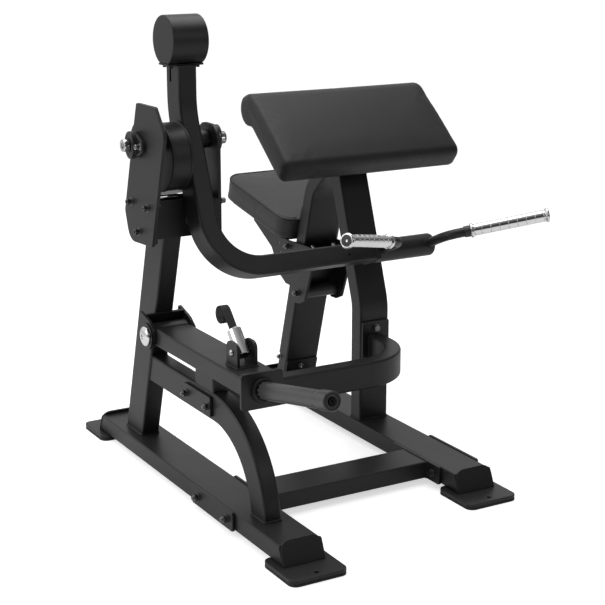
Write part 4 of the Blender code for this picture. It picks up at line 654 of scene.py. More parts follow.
def buildBase():
    foot = rectangle(base["footWidth"], base["footLength"], base["footCorner"], 10)
    section = rectangle(base["width"], base["height"], base["corner"])
    lean, slant = base["capLean"], base["cap"] / cos(base["capLean"])
    height, half = (base["height"] + base["capRise"]) / cos(lean), base["width"] / 2
    outline = rounded([(-half, 0, 0.003), (half, 0, 0.003), (half, height, base["capCorner"]),
                       (-half, height, base["capCorner"])], 12)
    for side, (_, name) in enumerate(sides):
        x, front = side * base["spacing"], base["front"] + side * base["stagger"]
        ends = ((front, -1, "front"), (front + base["length"], 1, "rear"))
        node = f"base_beam_{name}"
        start = placeAt((x, front + endRoom, beamMiddle), xWay, yWay)
        places = follow(start, [(base["length"] - 2 * endRoom,)])
        planes = [((x, y - way * slant, beamBottom), (0, way * cos(lean), sin(lean))) for y, way, _ in ends]
        addPiece(f"{name}_beam_tube", [sweep(section, places, *planes)], "coat", node)
        caps = []
        for y, way, _ in ends:
            up = np.array([0, -way * sin(lean), cos(lean)])
            inward = np.array([0, -way * cos(lean), -sin(lean)])
            place = placeAt((x, y, beamBottom), np.cross(up, inward), inward)
            caps.append(plateShell(outline, base["cap"], place, 0.0015))
        beads = [weldOn(section, place, *plane, 0.0022, zWay) for place, plane in zip(places, planes)]
        addPiece(f"{name}_beam_end_plates", caps, "coat", node)
        addPiece(f"{name}_beam_end_welds", beads, "coat", node)
        plates = []
        for y, way, end in ends:
            middle = y + way * (base["overhang"] - base["footLength"] / 2)
            hole = [(0, way * (base["footLength"] / 2 - base["holeInset"]), base["hole"])]
            on = uprightAt((x, middle, base["rubber"] + gap))
            plates.append(plateShell(foot, base["plate"], on, 0.0018, hole))
            pad = plateShell(foot, base["rubber"], uprightAt((x, middle, 0)), 0.0012, hole)
            addPiece(f"{name}_{end}_rubber_foot", [pad], "rubber", f"foot_pad_{end}_{name}")
        addPiece(f"{name}_beam_foot_plates", plates, "coat", node)


cross = {"y": -0.332, "flange": 0.008, "length": 0.240, "corner": 0.006, "pitch": 0.170, "bolt": 0.012}


def buildCrossBeam():
    low, high, flange = base["width"] / 2 + gap, base["spacing"] - base["width"] / 2 - gap, cross["flange"]

    def endAt(x):
        return sideAt((x, cross["y"], beamMiddle))

    places = follow(endAt(low + 0.004), [(high - low - 0.008,)])
    section = rectangle(base["width"], base["height"], base["corner"])
    addPiece("cross_beam_tube", [sweep(section, places)], "coat", "cross_beam")
    outline = rectangle(cross["length"], base["height"] + 0.003, cross["corner"])
    plates = [plateShell(outline, flange, endAt(x)) for x in (low, high - flange)]
    addPiece("cross_beam_flanges", plates, "coat", "cross_beam")
    beads = [weldOn(section, endAt(x), (x, 0, 0), xWay) for x in (low + flange, high - flange)]
    addPiece("cross_beam_welds", beads, "coat", "cross_beam")
    for side, (way, name) in enumerate(sides):
        face = side * base["spacing"] + way * (base["width"] / 2 + gap)
        place = placeAt((face, cross["y"], beamMiddle), yWay * way, xWay * way)
        backing = plateShell(outline, flange, place)
        addPiece(f"{name}_backing_plate", [backing], "coat", f"backing_plate_{name}")
        bolts, inside = [], face - way * (base["width"] + 2 * gap + flange)
        for y in (cross["y"] - cross["pitch"] / 2, cross["y"] + cross["pitch"] / 2):
            bolts += hexNut(placeAt((face + way * flange, y, beamMiddle), zWay, xWay * way), cross["bolt"])
            bolts += hexBolt(placeAt((inside, y, beamMiddle), zWay, -xWay * way), cross["bolt"])
        addPiece(f"{name}_cross_beam_bolts", bolts, "zinc", "frame")


buildBase()
buildCrossBeam()
print("base built")


# Rear post, head and pivot plates

post = {"width": 0.056, "depth": 0.110, "corner": 0.006, "footY": 0.2685, "topY": 0.0775, "headBottom": 0.716,
        "weld": 0.0030}
deck = beamTop + gap
postLean = atan2(post["footY"] - post["topY"], post["headBottom"] - beamTop)
postNormal = np.array([0, cos(postLean), sin(postLean)])
axisZ = 0.980


def postFront(z):
    return post["footY"] - post["depth"] / 2 / cos(postLean) - (z - beamTop) * tan(postLean)


def buildPost():
    along = np.array([0, -sin(postLean), cos(postLean)])
    start = moved(placeAt((0, post["footY"], beamTop), xWay, along), w=endRoom)
    section = rectangle(post["width"], post["depth"], post["corner"])
    places = follow(start, [((post["headBottom"] - beamTop) / cos(postLean) - 2 * endRoom,)])
    low, high = ((0, 0, deck), zWay), ((0, 0, post["headBottom"] - gap), zWay)
    addPiece("rear_post_tube", [sweep(section, places, low, high)], "coat", "rear_post")
    beads = [weldOn(section, places[0], (0, 0, deck + 0.0012), zWay, post["weld"]),
             weldOn(section, places[-1], (0, 0, post["headBottom"] - 0.0015), zWay, post["weld"])]
    addPiece("rear_post_welds", beads, "coat", "frame")


plates = {
    "inner": 0.099, "thickness": 0.010, "edge": 0.0012, "bolt": 0.0063, "boltSize": 0.0104, "nutSize": 0.010,
    "nutFace": 0.0867, "lowHead": 0.0125, "highHead": 0.0145, "rodEdge": 0.0012,
    "bolts": [(0.049, -0.164), (-0.057, -0.165), (0.003, -0.240)], "rod": (0.002, 0.829, 0.0070),
    "bore": 0.0179,
    "foot": [(0.070, -0.277, 0.045), (0.098, -0.1955, 0.020), (0.050, -0.040, 0.020)],
    "left": [(-0.078, -0.269, 0.010), (0.057, 0.010, 0.040), (0.029, 0.046, 0.012), (0.021, 0.052, 0.006),
             (0.001, 0.112, 0.008), (-0.116, 0.113, 0.010), (-0.1715, 0.0433, 0.030)],
    "right": [(-0.066, -0.269, 0.010), (0.057, 0.044, 0.040), (-0.066, 0.044, 0.046)],
}
plateOuter = plates["inner"] + plates["thickness"]


def buildPivotPlates():
    holes = [(y, axisZ + rise, plates["bolt"]) for y, rise in plates["bolts"]]
    holes.append((0, axisZ, plates["bore"]))
    for way, name in sides:
        first, *rest = plates[name]
        corners = [(y, axisZ + rise, radius) for y, rise, radius in [first, *plates["foot"], *rest]]
        place = sideAt((-plateOuter if way < 0 else plates["inner"], 0, 0))
        shell = plateShell(rounded(corners, 12), plates["thickness"], place, plates["edge"], holes)
        addPiece(f"{name}_pivot_plate", [shell], "coat", f"pivot_plate_{name}")
        screws, nuts = [], []
        for number, (y, rise) in enumerate(plates["bolts"]):
            out = placeAt((way * plateOuter, y, axisZ + rise), zWay, xWay * way)
            screws += capScrew(out, plates["boltSize"], plates["lowHead"] if number else plates["highHead"])
            if y < -0.02:
                inside = placeAt((way * plates["nutFace"], y, axisZ + rise), zWay, -xWay * way)
                nuts += hexNut(inside, plates["nutSize"])
        addPiece(f"{name}_plate_screws", screws, "zinc", "frame")
        addPiece(f"{name}_plate_nuts", nuts, "zinc", "frame")
    y, z, radius = plates["rod"]
    half, edge = plates["inner"] - gap, plates["rodEdge"]
    rod = bothEnds([(radius, half - edge), (radius - edge, half), (0, half)])
    addPiece("tie_rod_bar", [lathe(rod, acrossAt((0, y, z)), 48)], "chrome", "tie_rod")


bearing = {"width": 0.056, "height": 0.075, "flange": 0.011, "reach": 0.041, "ear": 0.013, "shaft": 0.0175,
           "overhang": 0.044, "screw": 0.0098, "screwHead": 0.0125, "core": 0.0172, "coreInset": 0.012,
           "end": 0.016}


def buildBearings():
    tip, half, ear = bearing["reach"] + bearing["ear"], bearing["height"] / 2, bearing["ear"]
    flange = rounded([(-tip, -ear, ear - 0.001), (0, -half, half * 0.8), (tip, -ear, ear - 0.001),
                      (tip, ear, ear - 0.001), (0, half, half * 0.8), (-tip, ear, ear - 0.001)], 14)
    # boss: ellipses (outset, height) that round over its rim, then circles (radius, height) of seal and bore
    t = angles(96)
    oval = [(0.0006, 0.0100), (0.0003, 0.0118), (0, 0.0138), (0, 0.0225), (-0.0008, 0.0245),
            (-0.0025, 0.0257), (-0.0045, 0.0260)]
    seal = [(0.0268, 0.0260), (0.0260, 0.0245), (0.0222, 0.0245), (0.0214, 0.0258), (0.0184, 0.0258),
            (0.0177, 0.0250), (0.0177, 0.0)]
    rows = [((bearing["width"] / 2 + out) * np.cos(t), (half + out) * np.sin(t), w) for out, w in oval]
    rows += [(r * np.cos(t), r * np.sin(t), w) for r, w in seal]
    ears = [(-bearing["reach"], 0, 0.0033), (bearing["reach"], 0, 0.0033), (0, 0, 0.0178)]
    for way, name in sides:
        place = placeAt((way * (plateOuter + gap), 0, axisZ), yWay, xWay * way)
        shells = [gridShell(carried(rows, place), caps=False),
                  plateShell(flange, bearing["flange"], place, 0.0022, ears)]
        addPiece(f"{name}_bearing_housing", shells, "housing", f"bearing_{name}")
        screws = []
        for reach in (-bearing["reach"], bearing["reach"]):
            on = moved(place, u=reach, w=bearing["flange"])
            screws += capScrew(on, bearing["screw"], bearing["screwHead"])
        addPiece(f"{name}_bearing_screws", screws, "bright", "frame")
    reach = plateOuter + bearing["overhang"]
    half = reach - bearing["coreInset"]
    core = pinProfile(bearing["core"], -half, half)
    addPiece("arm_shaft_core", [lathe(core, acrossAt((0, 0, axisZ)))], "oxide", "arm_shaft")
    for (way, name), finish in zip(sides, ("chrome", "zinc")):
        place = placeAt((way * (reach - bearing["end"]), 0, axisZ), yWay, xWay * way)
        end = boltHead(place, 2 * bearing["shaft"], bearing["end"], 0.019, False, 72)
        addPiece(f"arm_shaft_{name}_end", [end], finish, "arm_shaft")


bumper = {"drop": 0.214, "radius": 0.022, "waist": 0.003, "press": 0.004, "back": -0.016}


def buildBumper():
    # the free end touches the hanging arm's rear face: its Y is that face's Y at the bumper's height
    z, radius = axisZ - bumper["drop"], bumper["radius"]
    rear = -(axisZ - z - radius + bumper["press"]) * tan(arm["lean"]) + arm["depth"] / 2 / cos(arm["lean"])
    length, small = bumper["back"] - rear - 2 * gap, radius - bumper["waist"]
    profile = rounded([(0, 0, 0), (radius, 0, 0.003), (radius, length * 0.45, 0.002),
                       (small, length * 0.5, 0.002), (small, length, 0.005), (0, length, 0)], 5)
    place = placeAt((arm["x"], bumper["back"] - gap, z), xWay, -yWay)
    addPiece("arm_rest_bumper", [lathe(profile, place, 56)], "rubber", "rest_bumper")


# Exercise arm with its cam, counterweight and spindle

arm = {
    "width": 0.055, "depth": 0.082, "corner": 0.007, "x": 0.041, "offset": 0.031, "lean": radians(22),
    "reach": 0.372, "top": 1.184, "kinkRadius": 0.250, "bendRadius": 0.146, "endX": 0.547, "endPlate": 0.010,
    "margin": 0.003, "hubRadius": 0.025, "bore": 0.0178, "hubHalf": 0.098, "slot": (0.010, 0.052, 0.012),
    "pin": (0.455, 0.060, 0.004, 0.0032), "topPlate": (0.107, 0.066, 0.005),
}
spindle = {"start": 0.1015, "radius": 0.0125, "length": 0.188}
armDown = np.array([0, -sin(arm["lean"]), -cos(arm["lean"])])
armAcross = np.array([0, -cos(arm["lean"]), sin(arm["lean"])])
pivot = np.array([0, 0, axisZ])
hubPoint = pivot + armDown * arm["reach"] + xWay * (arm["endX"] + arm["endPlate"] - 0.0007 + spindle["start"])


def buildArm():
    lean, x = arm["lean"], arm["x"]
    kink, rise = arm["kinkRadius"] * tan(lean / 2), arm["offset"] / sin(lean)
    start = placeAt((x, arm["offset"], arm["top"]), xWay, -zWay)
    places = follow(start, [(arm["top"] - axisZ - rise * cos(lean) - kink,),
                            (arm["kinkRadius"], lean, (0, 1), 12),
                            (rise - kink + arm["reach"] - arm["bendRadius"],),
                            (arm["bendRadius"], pi / 2, (1, 0), 32), (arm["endX"] - x - arm["bendRadius"],)])
    section = rectangle(arm["width"], arm["depth"], arm["corner"], 8)
    width, length, off = arm["slot"]
    slot = sideAt((x - arm["width"] / 2 - 0.010, arm["offset"] + off, arm["top"] - length / 2 + 0.004))
    right, above, down, radius = arm["pin"]
    spot = pivot + armDown * (arm["reach"] + down) + xWay * right + armAcross * above
    pin = placeAt(spot, xWay, -armAcross)
    cutters = [plateShell(rectangle(width, length, width * 0.45), 0.017, slot, 0.0001),
               plateShell(circle(radius, 24), 0.026, pin, 0.0001)]
    made = addPiece("arm_tube", [sweep(section, places)], "coat", "exercise_arm")
    carve(made, cutters)
    bore, radius, half = arm["bore"], arm["hubRadius"], arm["hubHalf"]
    hub = bothEnds([(radius, half - 0.001), (radius - 0.001, half), (bore, half)])
    addPiece("arm_pivot_tube", [lathe(hub, acrossAt(pivot), 72, closed=True)], "coat", "exercise_arm")
    outline = rectangle(arm["depth"] + 2 * arm["margin"], arm["width"] + 2 * arm["margin"], 0.005)
    end = placeAt(hubPoint * (0, 1, 1) + xWay * (arm["endX"] - 0.001), armAcross, xWay)
    width, length, thickness = arm["topPlate"]
    top = uprightAt((x, arm["offset"], arm["top"] - 0.001))
    shells = [plateShell(outline, arm["endPlate"], end, 0.0012),
              plateShell(rectangle(width, length, 0.005), thickness, top)]
    addPiece("arm_end_plates", shells, "coat", "exercise_arm")
    beads = [weldRim(section, places[-1], xWay, -0.0008, 0.0024),
             weldRim(section, places[0], zWay, -0.0008, 0.0022)]
    for side, _ in sides:
        ring = sideAt(pivot + xWay * (x + side * arm["width"] / 2))
        beads.append(weldBead(ringPath(ring, radius + 0.0006), xWay))
    addPiece("arm_welds", beads, "coat", "arm")
    profile = wallProfile(0, spindle["radius"], 0, spindle["length"], (0, 0, 0.002, 0), 4)
    place = acrossAt(hubPoint - xWay * spindle["start"])
    addPiece("handle_spindle_bar", [lathe(profile, place, 40)], "chrome", "handle_spindle")


weight = {"radius": 0.068, "length": 0.107, "drop": 0.062, "lift": 0.0043, "edge": 0.0045,
          "screw": 0.0065, "along": 0.0405, "across": 0.020}


def buildCounterweight():
    flat = arm["top"] + weight["lift"]
    half = np.arcsin(weight["drop"] / weight["radius"])
    t = np.linspace(-half, pi + half, 120)
    outline = weight["radius"] * np.stack([np.cos(t), np.sin(t)], 1) + (arm["offset"], flat + weight["drop"])
    place = sideAt((arm["x"] - weight["length"] / 2, 0, 0))
    addPiece("counterweight_drum", [plateShell(outline, weight["length"], place, weight["edge"])], "coat",
             "counterweight", sharp=40)
    screws = []
    for dx in (-weight["along"], weight["along"]):
        for dy in (-weight["across"], weight["across"]):
            spot = placeAt((arm["x"] + dx, arm["offset"] + dy, arm["top"] - 0.001), xWay, -zWay)
            screws += capScrew(spot, weight["screw"])
    addPiece("counterweight_screws", screws, "oxide", "arm")


cam = {"radius": 0.095, "width": 0.061, "drop": 0.040, "wall": 0.008, "groove": 0.0020, "flank": 0.006,
       "tubeInner": 0.0255, "tube": 0.033, "tubeStart": 0.004}


def buildCam():
    width, radius, inner = cam["width"], cam["radius"], cam["radius"] - cam["wall"]
    place = sideAt((arm["x"] - arm["width"] / 2 - gap - width, 0, axisZ - cam["drop"]))
    lip, deep, flank = radius + 0.0001, radius - cam["groove"], cam["flank"]
    rim = rounded([(inner, 0, 0), (radius, 0, 0.003), (lip, flank, 0.001), (deep, flank + 0.0015, 0.001),
                   (deep, width - flank - 0.0015, 0.001), (lip, width - flank, 0.001), (radius, width, 0.003),
                   (inner, width, 0.002)], 4)
    web = plateShell(circle(inner + 0.001, 96), cam["wall"], moved(place, w=0.0004), 0.0005,
                     [(0, cam["drop"], arm["hubRadius"] + gap)])
    tube = wallProfile(cam["tubeInner"], cam["tube"], cam["tubeStart"], width, (0, 0.001, 0.001, 0.001), 3)
    tube = lathe(tube, moved(place, v=cam["drop"]), 56, closed=True)
    addPiece("strap_cam_drum", [lathe(rim, place, 96, closed=True), web, tube], "coat", "strap_cam")


# Handle and its turning grips

handle = {
    "tilt": radians(23.4), "bar": 0.014, "spread": 0.080, "root": 0.02275, "bendRadius": 0.060,
    "start": (0.139, 0.157), "end": (0.341, 0.268), "hub": 0.033, "hubLength": 0.203, "grip": 0.0175,
    "pitch": 0.026, "groove": 0.0007, "grooves": 8, "setAlong": 0.083,
    "setAngles": (radians(35), radians(-28)),
}
handleForward = np.array([0, -cos(handle["tilt"]), sin(handle["tilt"])])


def handlePoint(spread, reach, way):
    return hubPoint + xWay * way * spread + handleForward * reach


def buildHandle():
    radius, length = handle["hub"], handle["hubLength"]
    profile = rounded([(0.0126, 0, 0), (radius, 0, 0.0018), (radius, length, 0.010), (0, length, 0),
                       (0, length - 0.014, 0), (0.0126, length - 0.014, 0)], 8)
    hubPlace = placeAt(hubPoint - xWay * length / 2, -handleForward, xWay)
    addPiece("handle_hub", [lathe(profile, hubPlace, 96, closed=True)], "coat", "handle_bar")
    bars, beads, sleeves, handleUp = [], [], [], np.cross(xWay, handleForward)
    for way, name in sides:
        inner, outer = handlePoint(*handle["start"], way), handlePoint(*handle["end"], way)
        along, total = unit(outer - inner), np.linalg.norm(outer - inner)
        root = handlePoint(handle["spread"], handle["root"], way)
        offset = (inner - root) @ (xWay * way)
        reach = (inner - root) @ handleForward - offset * (along @ handleForward) / (along @ (xWay * way))
        turn = np.arccos(handleForward @ along)
        trim = handle["bendRadius"] * tan(turn / 2)
        corner = root + handleForward * reach
        places = follow(placeAt(root, xWay * way, handleForward),
                        [(reach - trim,), (handle["bendRadius"], turn, (1, 0), 20),
                         ((inner - corner) @ along + total - 0.0123 - trim,)])
        bars.append(sweep(circle(handle["bar"], 40), places))
        # bead where the bar enters the hub: a ring on the bar pushed back on to the hub's own round
        ring = circle(handle["bar"] + 0.0006, 48)
        reach = np.sqrt(radius ** 2 - ring[:, 1] ** 2)
        path = hubPoint + xWay * (way * handle["spread"] + ring[:, :1])
        path = path + reach[:, None] * handleForward + ring[:, 1:] * handleUp
        beads.append(weldBead(path, handleForward, 0.0026))
        grip = placeAt(inner, armDown, along)
        collar = rounded([(0.0143, 0, 0.0008), (0.0185, 0, 0.001), (0.0215, 0.0028, 0.0014),
                          (0.0215, 0.0072, 0.0014), (0.0185, 0.010, 0.001), (0.0143, 0.010, 0.0008)], 5)
        collar = lathe(collar, grip, 64, closed=True)
        addPiece(f"{name}_grip_collar_ring", [collar], "chrome", f"grip_collar_{name}")
        sleeve = gripSleeve(moved(grip, w=0.0103), total - 0.0229)
        addPiece(f"{name}_grip_tube", [sleeve], "grip", f"grip_{name}")
        end = moved(grip, w=total - 0.012)
        bell = rounded([(0.0140, 0.0, 0), (0.0176, 0.0, 0.0006), (0.0182, 0.0016, 0.003),
                        (0.0214, 0.0052, 0.003), (0.0216, 0.0090, 0.003), (0.0186, 0.0120, 0.0012),
                        (0.0160, 0.0120, 0.0008), (0.0152, 0.0088, 0.0004), (0.0140, 0.0088, 0)], 6)
        addPiece(f"{name}_grip_bell", [lathe(bell, end, 72, closed=True)], "chrome", f"grip_end_{name}")
        disc = rounded([(0, 0.004, 0), (0.0150, 0.004, 0), (0.0150, 0.0100, 0.0006), (0.0060, 0.0104, 0.0008),
                        (0.0052, 0.0094, 0.0004), (0, 0.0094, 0)], 4)
        addPiece(f"{name}_grip_disc", [lathe(disc, end, 56)], "nylon", f"grip_end_{name}")
        screw = boltHead(moved(end, w=0.0092), 0.0066, 0.0016, 0.0030, False, 36)
        addPiece(f"{name}_grip_screw", [screw], "chrome", "handle")
        neck = rounded([(0.01405, -0.017, 0.0), (0.0163, -0.017, 0.0016), (0.0168, -0.001, 0.001),
                        (0.01405, -0.001, 0)], 5)
        sleeves.append(lathe(neck, grip, 56, closed=True))
    addPiece("handle_bars", bars, "coat", "handle_bar")
    addPiece("handle_welds", beads, "coat", "handle")
    addPiece("handle_neck_sleeves", sleeves, "nylon", "handle")
    sets = []
    for angle in handle["setAngles"]:
        out = handleForward * cos(angle) + handleUp * sin(angle)
        spot = hubPoint + xWay * handle["setAlong"] + out * (radius - 0.0012)
        sets.append(boltHead(placeAt(spot, xWay, out), 0.0072, 0.0014, 0.0040, False, 36))
    addPiece("handle_set_screws", sets, "oxide", "handle")


def gripSleeve(place, length):
    # tube wall whose radius dips along a narrow bell curve at every ring groove, and once more as its neck
    pitch, first = handle["pitch"], 0.004
    fine = [pitch * (k + 1) - first + np.linspace(-0.0016, 0.0016, 13) for k in range(handle["grooves"])]
    w = np.unique(np.concatenate([np.linspace(0, length, 60)] + fine))
    w = w[(w >= 0) & (w <= length)]
    nearest = np.abs(((w + first) / pitch + 0.5) % 1 - 0.5) * pitch
    r = handle["grip"] - handle["groove"] * np.exp(-(nearest / 0.0005) ** 2)
    r = r - 0.0007 * np.exp(-((w - 0.009) / 0.0022) ** 2) - 0.0010 * np.exp(-(w / 0.0009) ** 2)
    profile = np.concatenate([[(0.0142, 0)], np.column_stack([r, w]), [(0.0142, length)]])
    return lathe(profile, place, 72, closed=True)


# Weight lever, horn, clevis and strap

lever = {"y": 0.067, "z": 0.420, "width": 0.110, "height": 0.050, "middle": 0.422, "front": -0.488,
         "barrel": 0.034, "bore": 0.0127, "plate": 0.010, "plateWidth": 0.122, "plateHeight": 0.098,
         "plateBottom": 0.360}
leverPoint = np.array([0, lever["y"], lever["z"]])
leverTop = lever["middle"] + lever["height"] / 2


def buildLever():
    section = rectangle(lever["width"], lever["height"], 0.006, 8)
    places = follow(placeAt((0, lever["front"], lever["middle"]), xWay, yWay),
                    [(lever["y"] - lever["barrel"] * 0.55 - lever["front"],)])
    addPiece("lever_tube", [sweep(section, places)], "coat", "lever_beam")
    half = lever["width"] / 2
    barrel = wallProfile(lever["bore"], lever["barrel"], -half, half, (0.001, 0.0015, 0.0015, 0.001), 4)
    barrel = lathe(barrel, acrossAt(leverPoint), 80, closed=True)
    addPiece("lever_barrel", [barrel], "coat", "lever_beam")
    outline = rectangle(lever["plateWidth"], lever["plateHeight"], 0.011, 10)
    middle = lever["plateBottom"] + lever["plateHeight"] / 2
    front = placeAt((0, lever["front"] + 0.001, middle), xWay, -yWay)
    plate = plateShell(outline, lever["plate"], front, 0.0015)
    addPiece("lever_front_plate", [plate], "coat", "lever_beam")
    beads = [weldRim(section, places[0], yWay, 0.0018, 0.0026)]
    back = lever["y"] - lever["barrel"] * 0.80
    for z in (leverTop + 0.0005, lever["middle"] - lever["height"] / 2 - 0.0005):
        line = np.array([(x, back, z) for x in np.linspace(-half + 0.004, half - 0.004, 40)])
        beads.append(weldBead(line, zWay, 0.0022))
    addPiece("lever_welds", beads, "coat", "lever")


horn = {"tilt": radians(11.7), "length": 0.352, "flange": 0.033, "sleeve": 0.0235, "core": 0.015, "teeth": 12,
        "depth": 0.010, "collar": 0.0255, "collarLength": 0.062}


def buildHorn():
    along = np.array([0, -cos(horn["tilt"]), sin(horn["tilt"])])
    root = np.array([0, lever["front"] - 0.0093, lever["plateBottom"] + lever["plateHeight"] / 2])
    place, edge, core = placeAt(root, xWay, along), horn["flange"], horn["core"]
    disc = [(edge, 0.0), (edge, 0.009), (edge - 0.0008, 0.0108), (edge - 0.0025, 0.0118), (0.0262, 0.012),
            (0.0258, 0.0112), (0.0250, 0.0104), (core + 0.0002, 0.0104)]
    disc = turned(disc, angles(96), place)
    disc[0] += along * ((root - disc[0]) @ yWay / along[1])[:, None]
    rod = lathe(wallProfile(0, core, 0.004, 0.340, (0, 0, 0.002, 0), 3), place, 48)
    addPiece("horn_flange_disc", [gridShell(disc), rod], "coat", "horn_flange")
    # sleeve: its foot edge rises in a V at each notch, the rest runs straight along
    low, high, bore, radius = 0.0123, horn["length"] - horn["collarLength"], core + gap, horn["sleeve"]
    t, spacing = angles(192), 2 * pi * radius / horn["teeth"]
    away = np.abs((t * radius / spacing + 0.5) % 1 - 0.5) * spacing
    foot = low + horn["depth"] * np.clip(1 - away / (spacing * 0.40), 0, 1)
    walls = [(bore, 1), (bore, 0), (radius - 0.0006, 0), (radius, 0.01), (radius, 1)]
    rings = turned([(r, foot + (high - foot) * share) for r, share in walls], t, place)
    addPiece("horn_sleeve_tube", [gridShell(rings, loop=True)], "sleeve", "horn_sleeve")
    edge, hollow, end = horn["collar"], bore - 0.004, moved(place, w=high)
    collar = [(bore, gap, 0), (0.0234, gap, 0.0005), (0.0240, 0.0095, 0.002), (edge, 0.0140, 0.002),
              (edge, 0.0600, 0.0028), (0.0212, 0.0620, 0.0010), (0.0198, 0.0585, 0.0006),
              (0.0182, 0.0585, 0.0006), (0.0176, 0.0605, 0.0006), (0.0140, 0.0605, 0.0006),
              (0.0134, 0.0575, 0.0005), (hollow, 0.0575, 0), (hollow, 0.045, 0), (bore, 0.045, 0)]
    addPiece("horn_end_collar", [lathe(rounded(collar, 6), end, 96, closed=True)], "sleeve", "horn_collar")
    screw = boltHead(moved(end, w=0.050), 0.0170, 0.0085, 0.0076, False, 56)
    addPiece("horn_end_screw", [screw], "oxide", "lever")


clevis = {"y": -0.386, "rise": 0.037, "width": 0.062, "height": 0.066, "thickness": 0.008, "gap": 0.044}


def buildClevis():
    half, reach, thickness = clevis["width"] / 2, clevis["gap"] / 2, clevis["thickness"]
    pin, bottom = np.array([0, clevis["y"], leverTop + clevis["rise"]]), leverTop + gap
    top, low, high = bottom + clevis["height"], clevis["y"] - half, clevis["y"] + half
    ear = rounded([(low, bottom, 0.001), (high, bottom, 0.001), (high, top, 0.020), (low, top, 0.020)], 12)
    shells = [plateShell(ear, thickness, sideAt((x, 0, 0)), 0.0012, [(pin[1], pin[2], 0.0054)])
              for x in (-reach - thickness, reach)]
    floor = rectangle(2 * reach + 0.002, clevis["width"] - 0.001, 0.001)
    shells.append(plateShell(floor, 0.006, uprightAt((0, clevis["y"], bottom)), 0.0008))
    addPiece("strap_clevis_ears", shells, "coat", "strap_clevis")
    outer = reach + thickness
    foot = rectangle(2 * outer + 0.002, clevis["width"] + 0.002, 0.002)
    bead = np.column_stack([foot, np.full(len(foot), bottom + 0.001)]) + yWay * clevis["y"]
    addPiece("strap_clevis_weld", [weldBead(bead, zWay, 0.0022)], "coat", "lever")
    dome = [(0.005, gap), (0.0095, gap), (0.0098, 0.0015), (0.0088, 0.0040), (0.0062, 0.0058),
            (0.0042, 0.0060), (0.0036, 0.0048), (0, 0.0042)]
    profile = bothEnds([(r, outer + w) for r, w in dome])
    addPiece("clevis_pin_bar", [lathe(profile, acrossAt(pin), 48)], "bright", "clevis_pin")
    anchorAndStrap(pin)


strap = {"rise": radians(47), "radius": 0.019, "length": 0.078, "tail": 0.014, "width": 0.024,
         "thickness": 0.0034, "run": 0.060, "turns": 3.5, "pitch": 0.0054, "core": 0.006, "held": 0.029}


def anchorAndStrap(pin):
    along = np.array([0, cos(strap["rise"]), sin(strap["rise"])])
    place = placeAt(pin - along * strap["tail"], xWay, along)
    length, radius = strap["length"], strap["radius"]
    barrel = wallProfile(0, radius, 0, length, (0, 0.0018, 0.0018, 0), 6)
    made = addPiece("strap_anchor_barrel", [lathe(barrel, place, 80)], "chrome", "strap_anchor")
    mouth = rectangle(strap["width"] + 0.0008, strap["thickness"] + 0.0008, 0.0004)
    carve(made, [plateShell(mouth, 0.032, moved(place, w=length - 0.030), 0.0001)])
    # the band runs straight out of its anchor, then comes nearer to the roll's middle by one pitch a turn
    down = np.array([0, sin(strap["rise"]), -cos(strap["rise"])])
    first = pin + along * (length - strap["tail"] - strap["held"])
    outer = strap["core"] + strap["pitch"] * strap["turns"]
    centre = first + along * (strap["held"] + strap["run"]) + down * outer
    angle = np.linspace(0, 2 * pi * strap["turns"], int(strap["turns"] * 44))[:, None]
    reach = outer - strap["pitch"] * angle / (2 * pi)
    straight = np.linspace(0, strap["held"] + strap["run"] - 0.001, 20)[:, None]
    points = np.concatenate([first + along * straight,
                             centre - down * reach * np.cos(angle) + along * reach * np.sin(angle)])
    tangents = unit(np.gradient(points, axis=0))
    normals = np.cross(tangents, xWay)
    section = rectangle(strap["width"], strap["thickness"], 0.0011, 4)
    across, through = section[:, 0], section[:, 1]
    rings = points[:, None] + across[:, None] * xWay + through[:, None] * normals[:, None]
    made = addPiece("pull_strap_band", [gridShell(rings)], "webbing", "pull_strap", 60, near=0, thin=0)
    run = np.concatenate([[0], np.cumsum(np.linalg.norm(np.diff(points, axis=0), axis=1))])
    share = np.tile(across, len(points)) / strap["width"] + 0.5
    flat = np.stack([share, np.repeat(run, len(section))], 1)
    corner = np.zeros(len(made.data.loops), dtype=np.int32)
    made.data.loops.foreach_get("vertex_index", corner)
    made.data.uv_layers.new(name="band").data.foreach_set("uv", flat[corner].astype(np.float32).ravel())
    core = pinProfile(0.0046, -strap["width"] / 2, strap["width"] / 2)
    addPiece("strap_roll_core", [lathe(core, sideAt(centre), 32)], "rubber", "strap")


# Arch brace, stop block and crossbar

arch = {"width": 0.050, "height": 0.080, "radius": 0.250, "turn": radians(84), "top": 0.337,
        "front": -0.552, "block": 0.110, "cushion": 0.0077, "cushionSpace": 0.008, "flange": 0.008,
        "plateLength": 0.162, "plateHeight": 0.056, "bolts": (-0.246, -0.113), "bolt": 0.011}


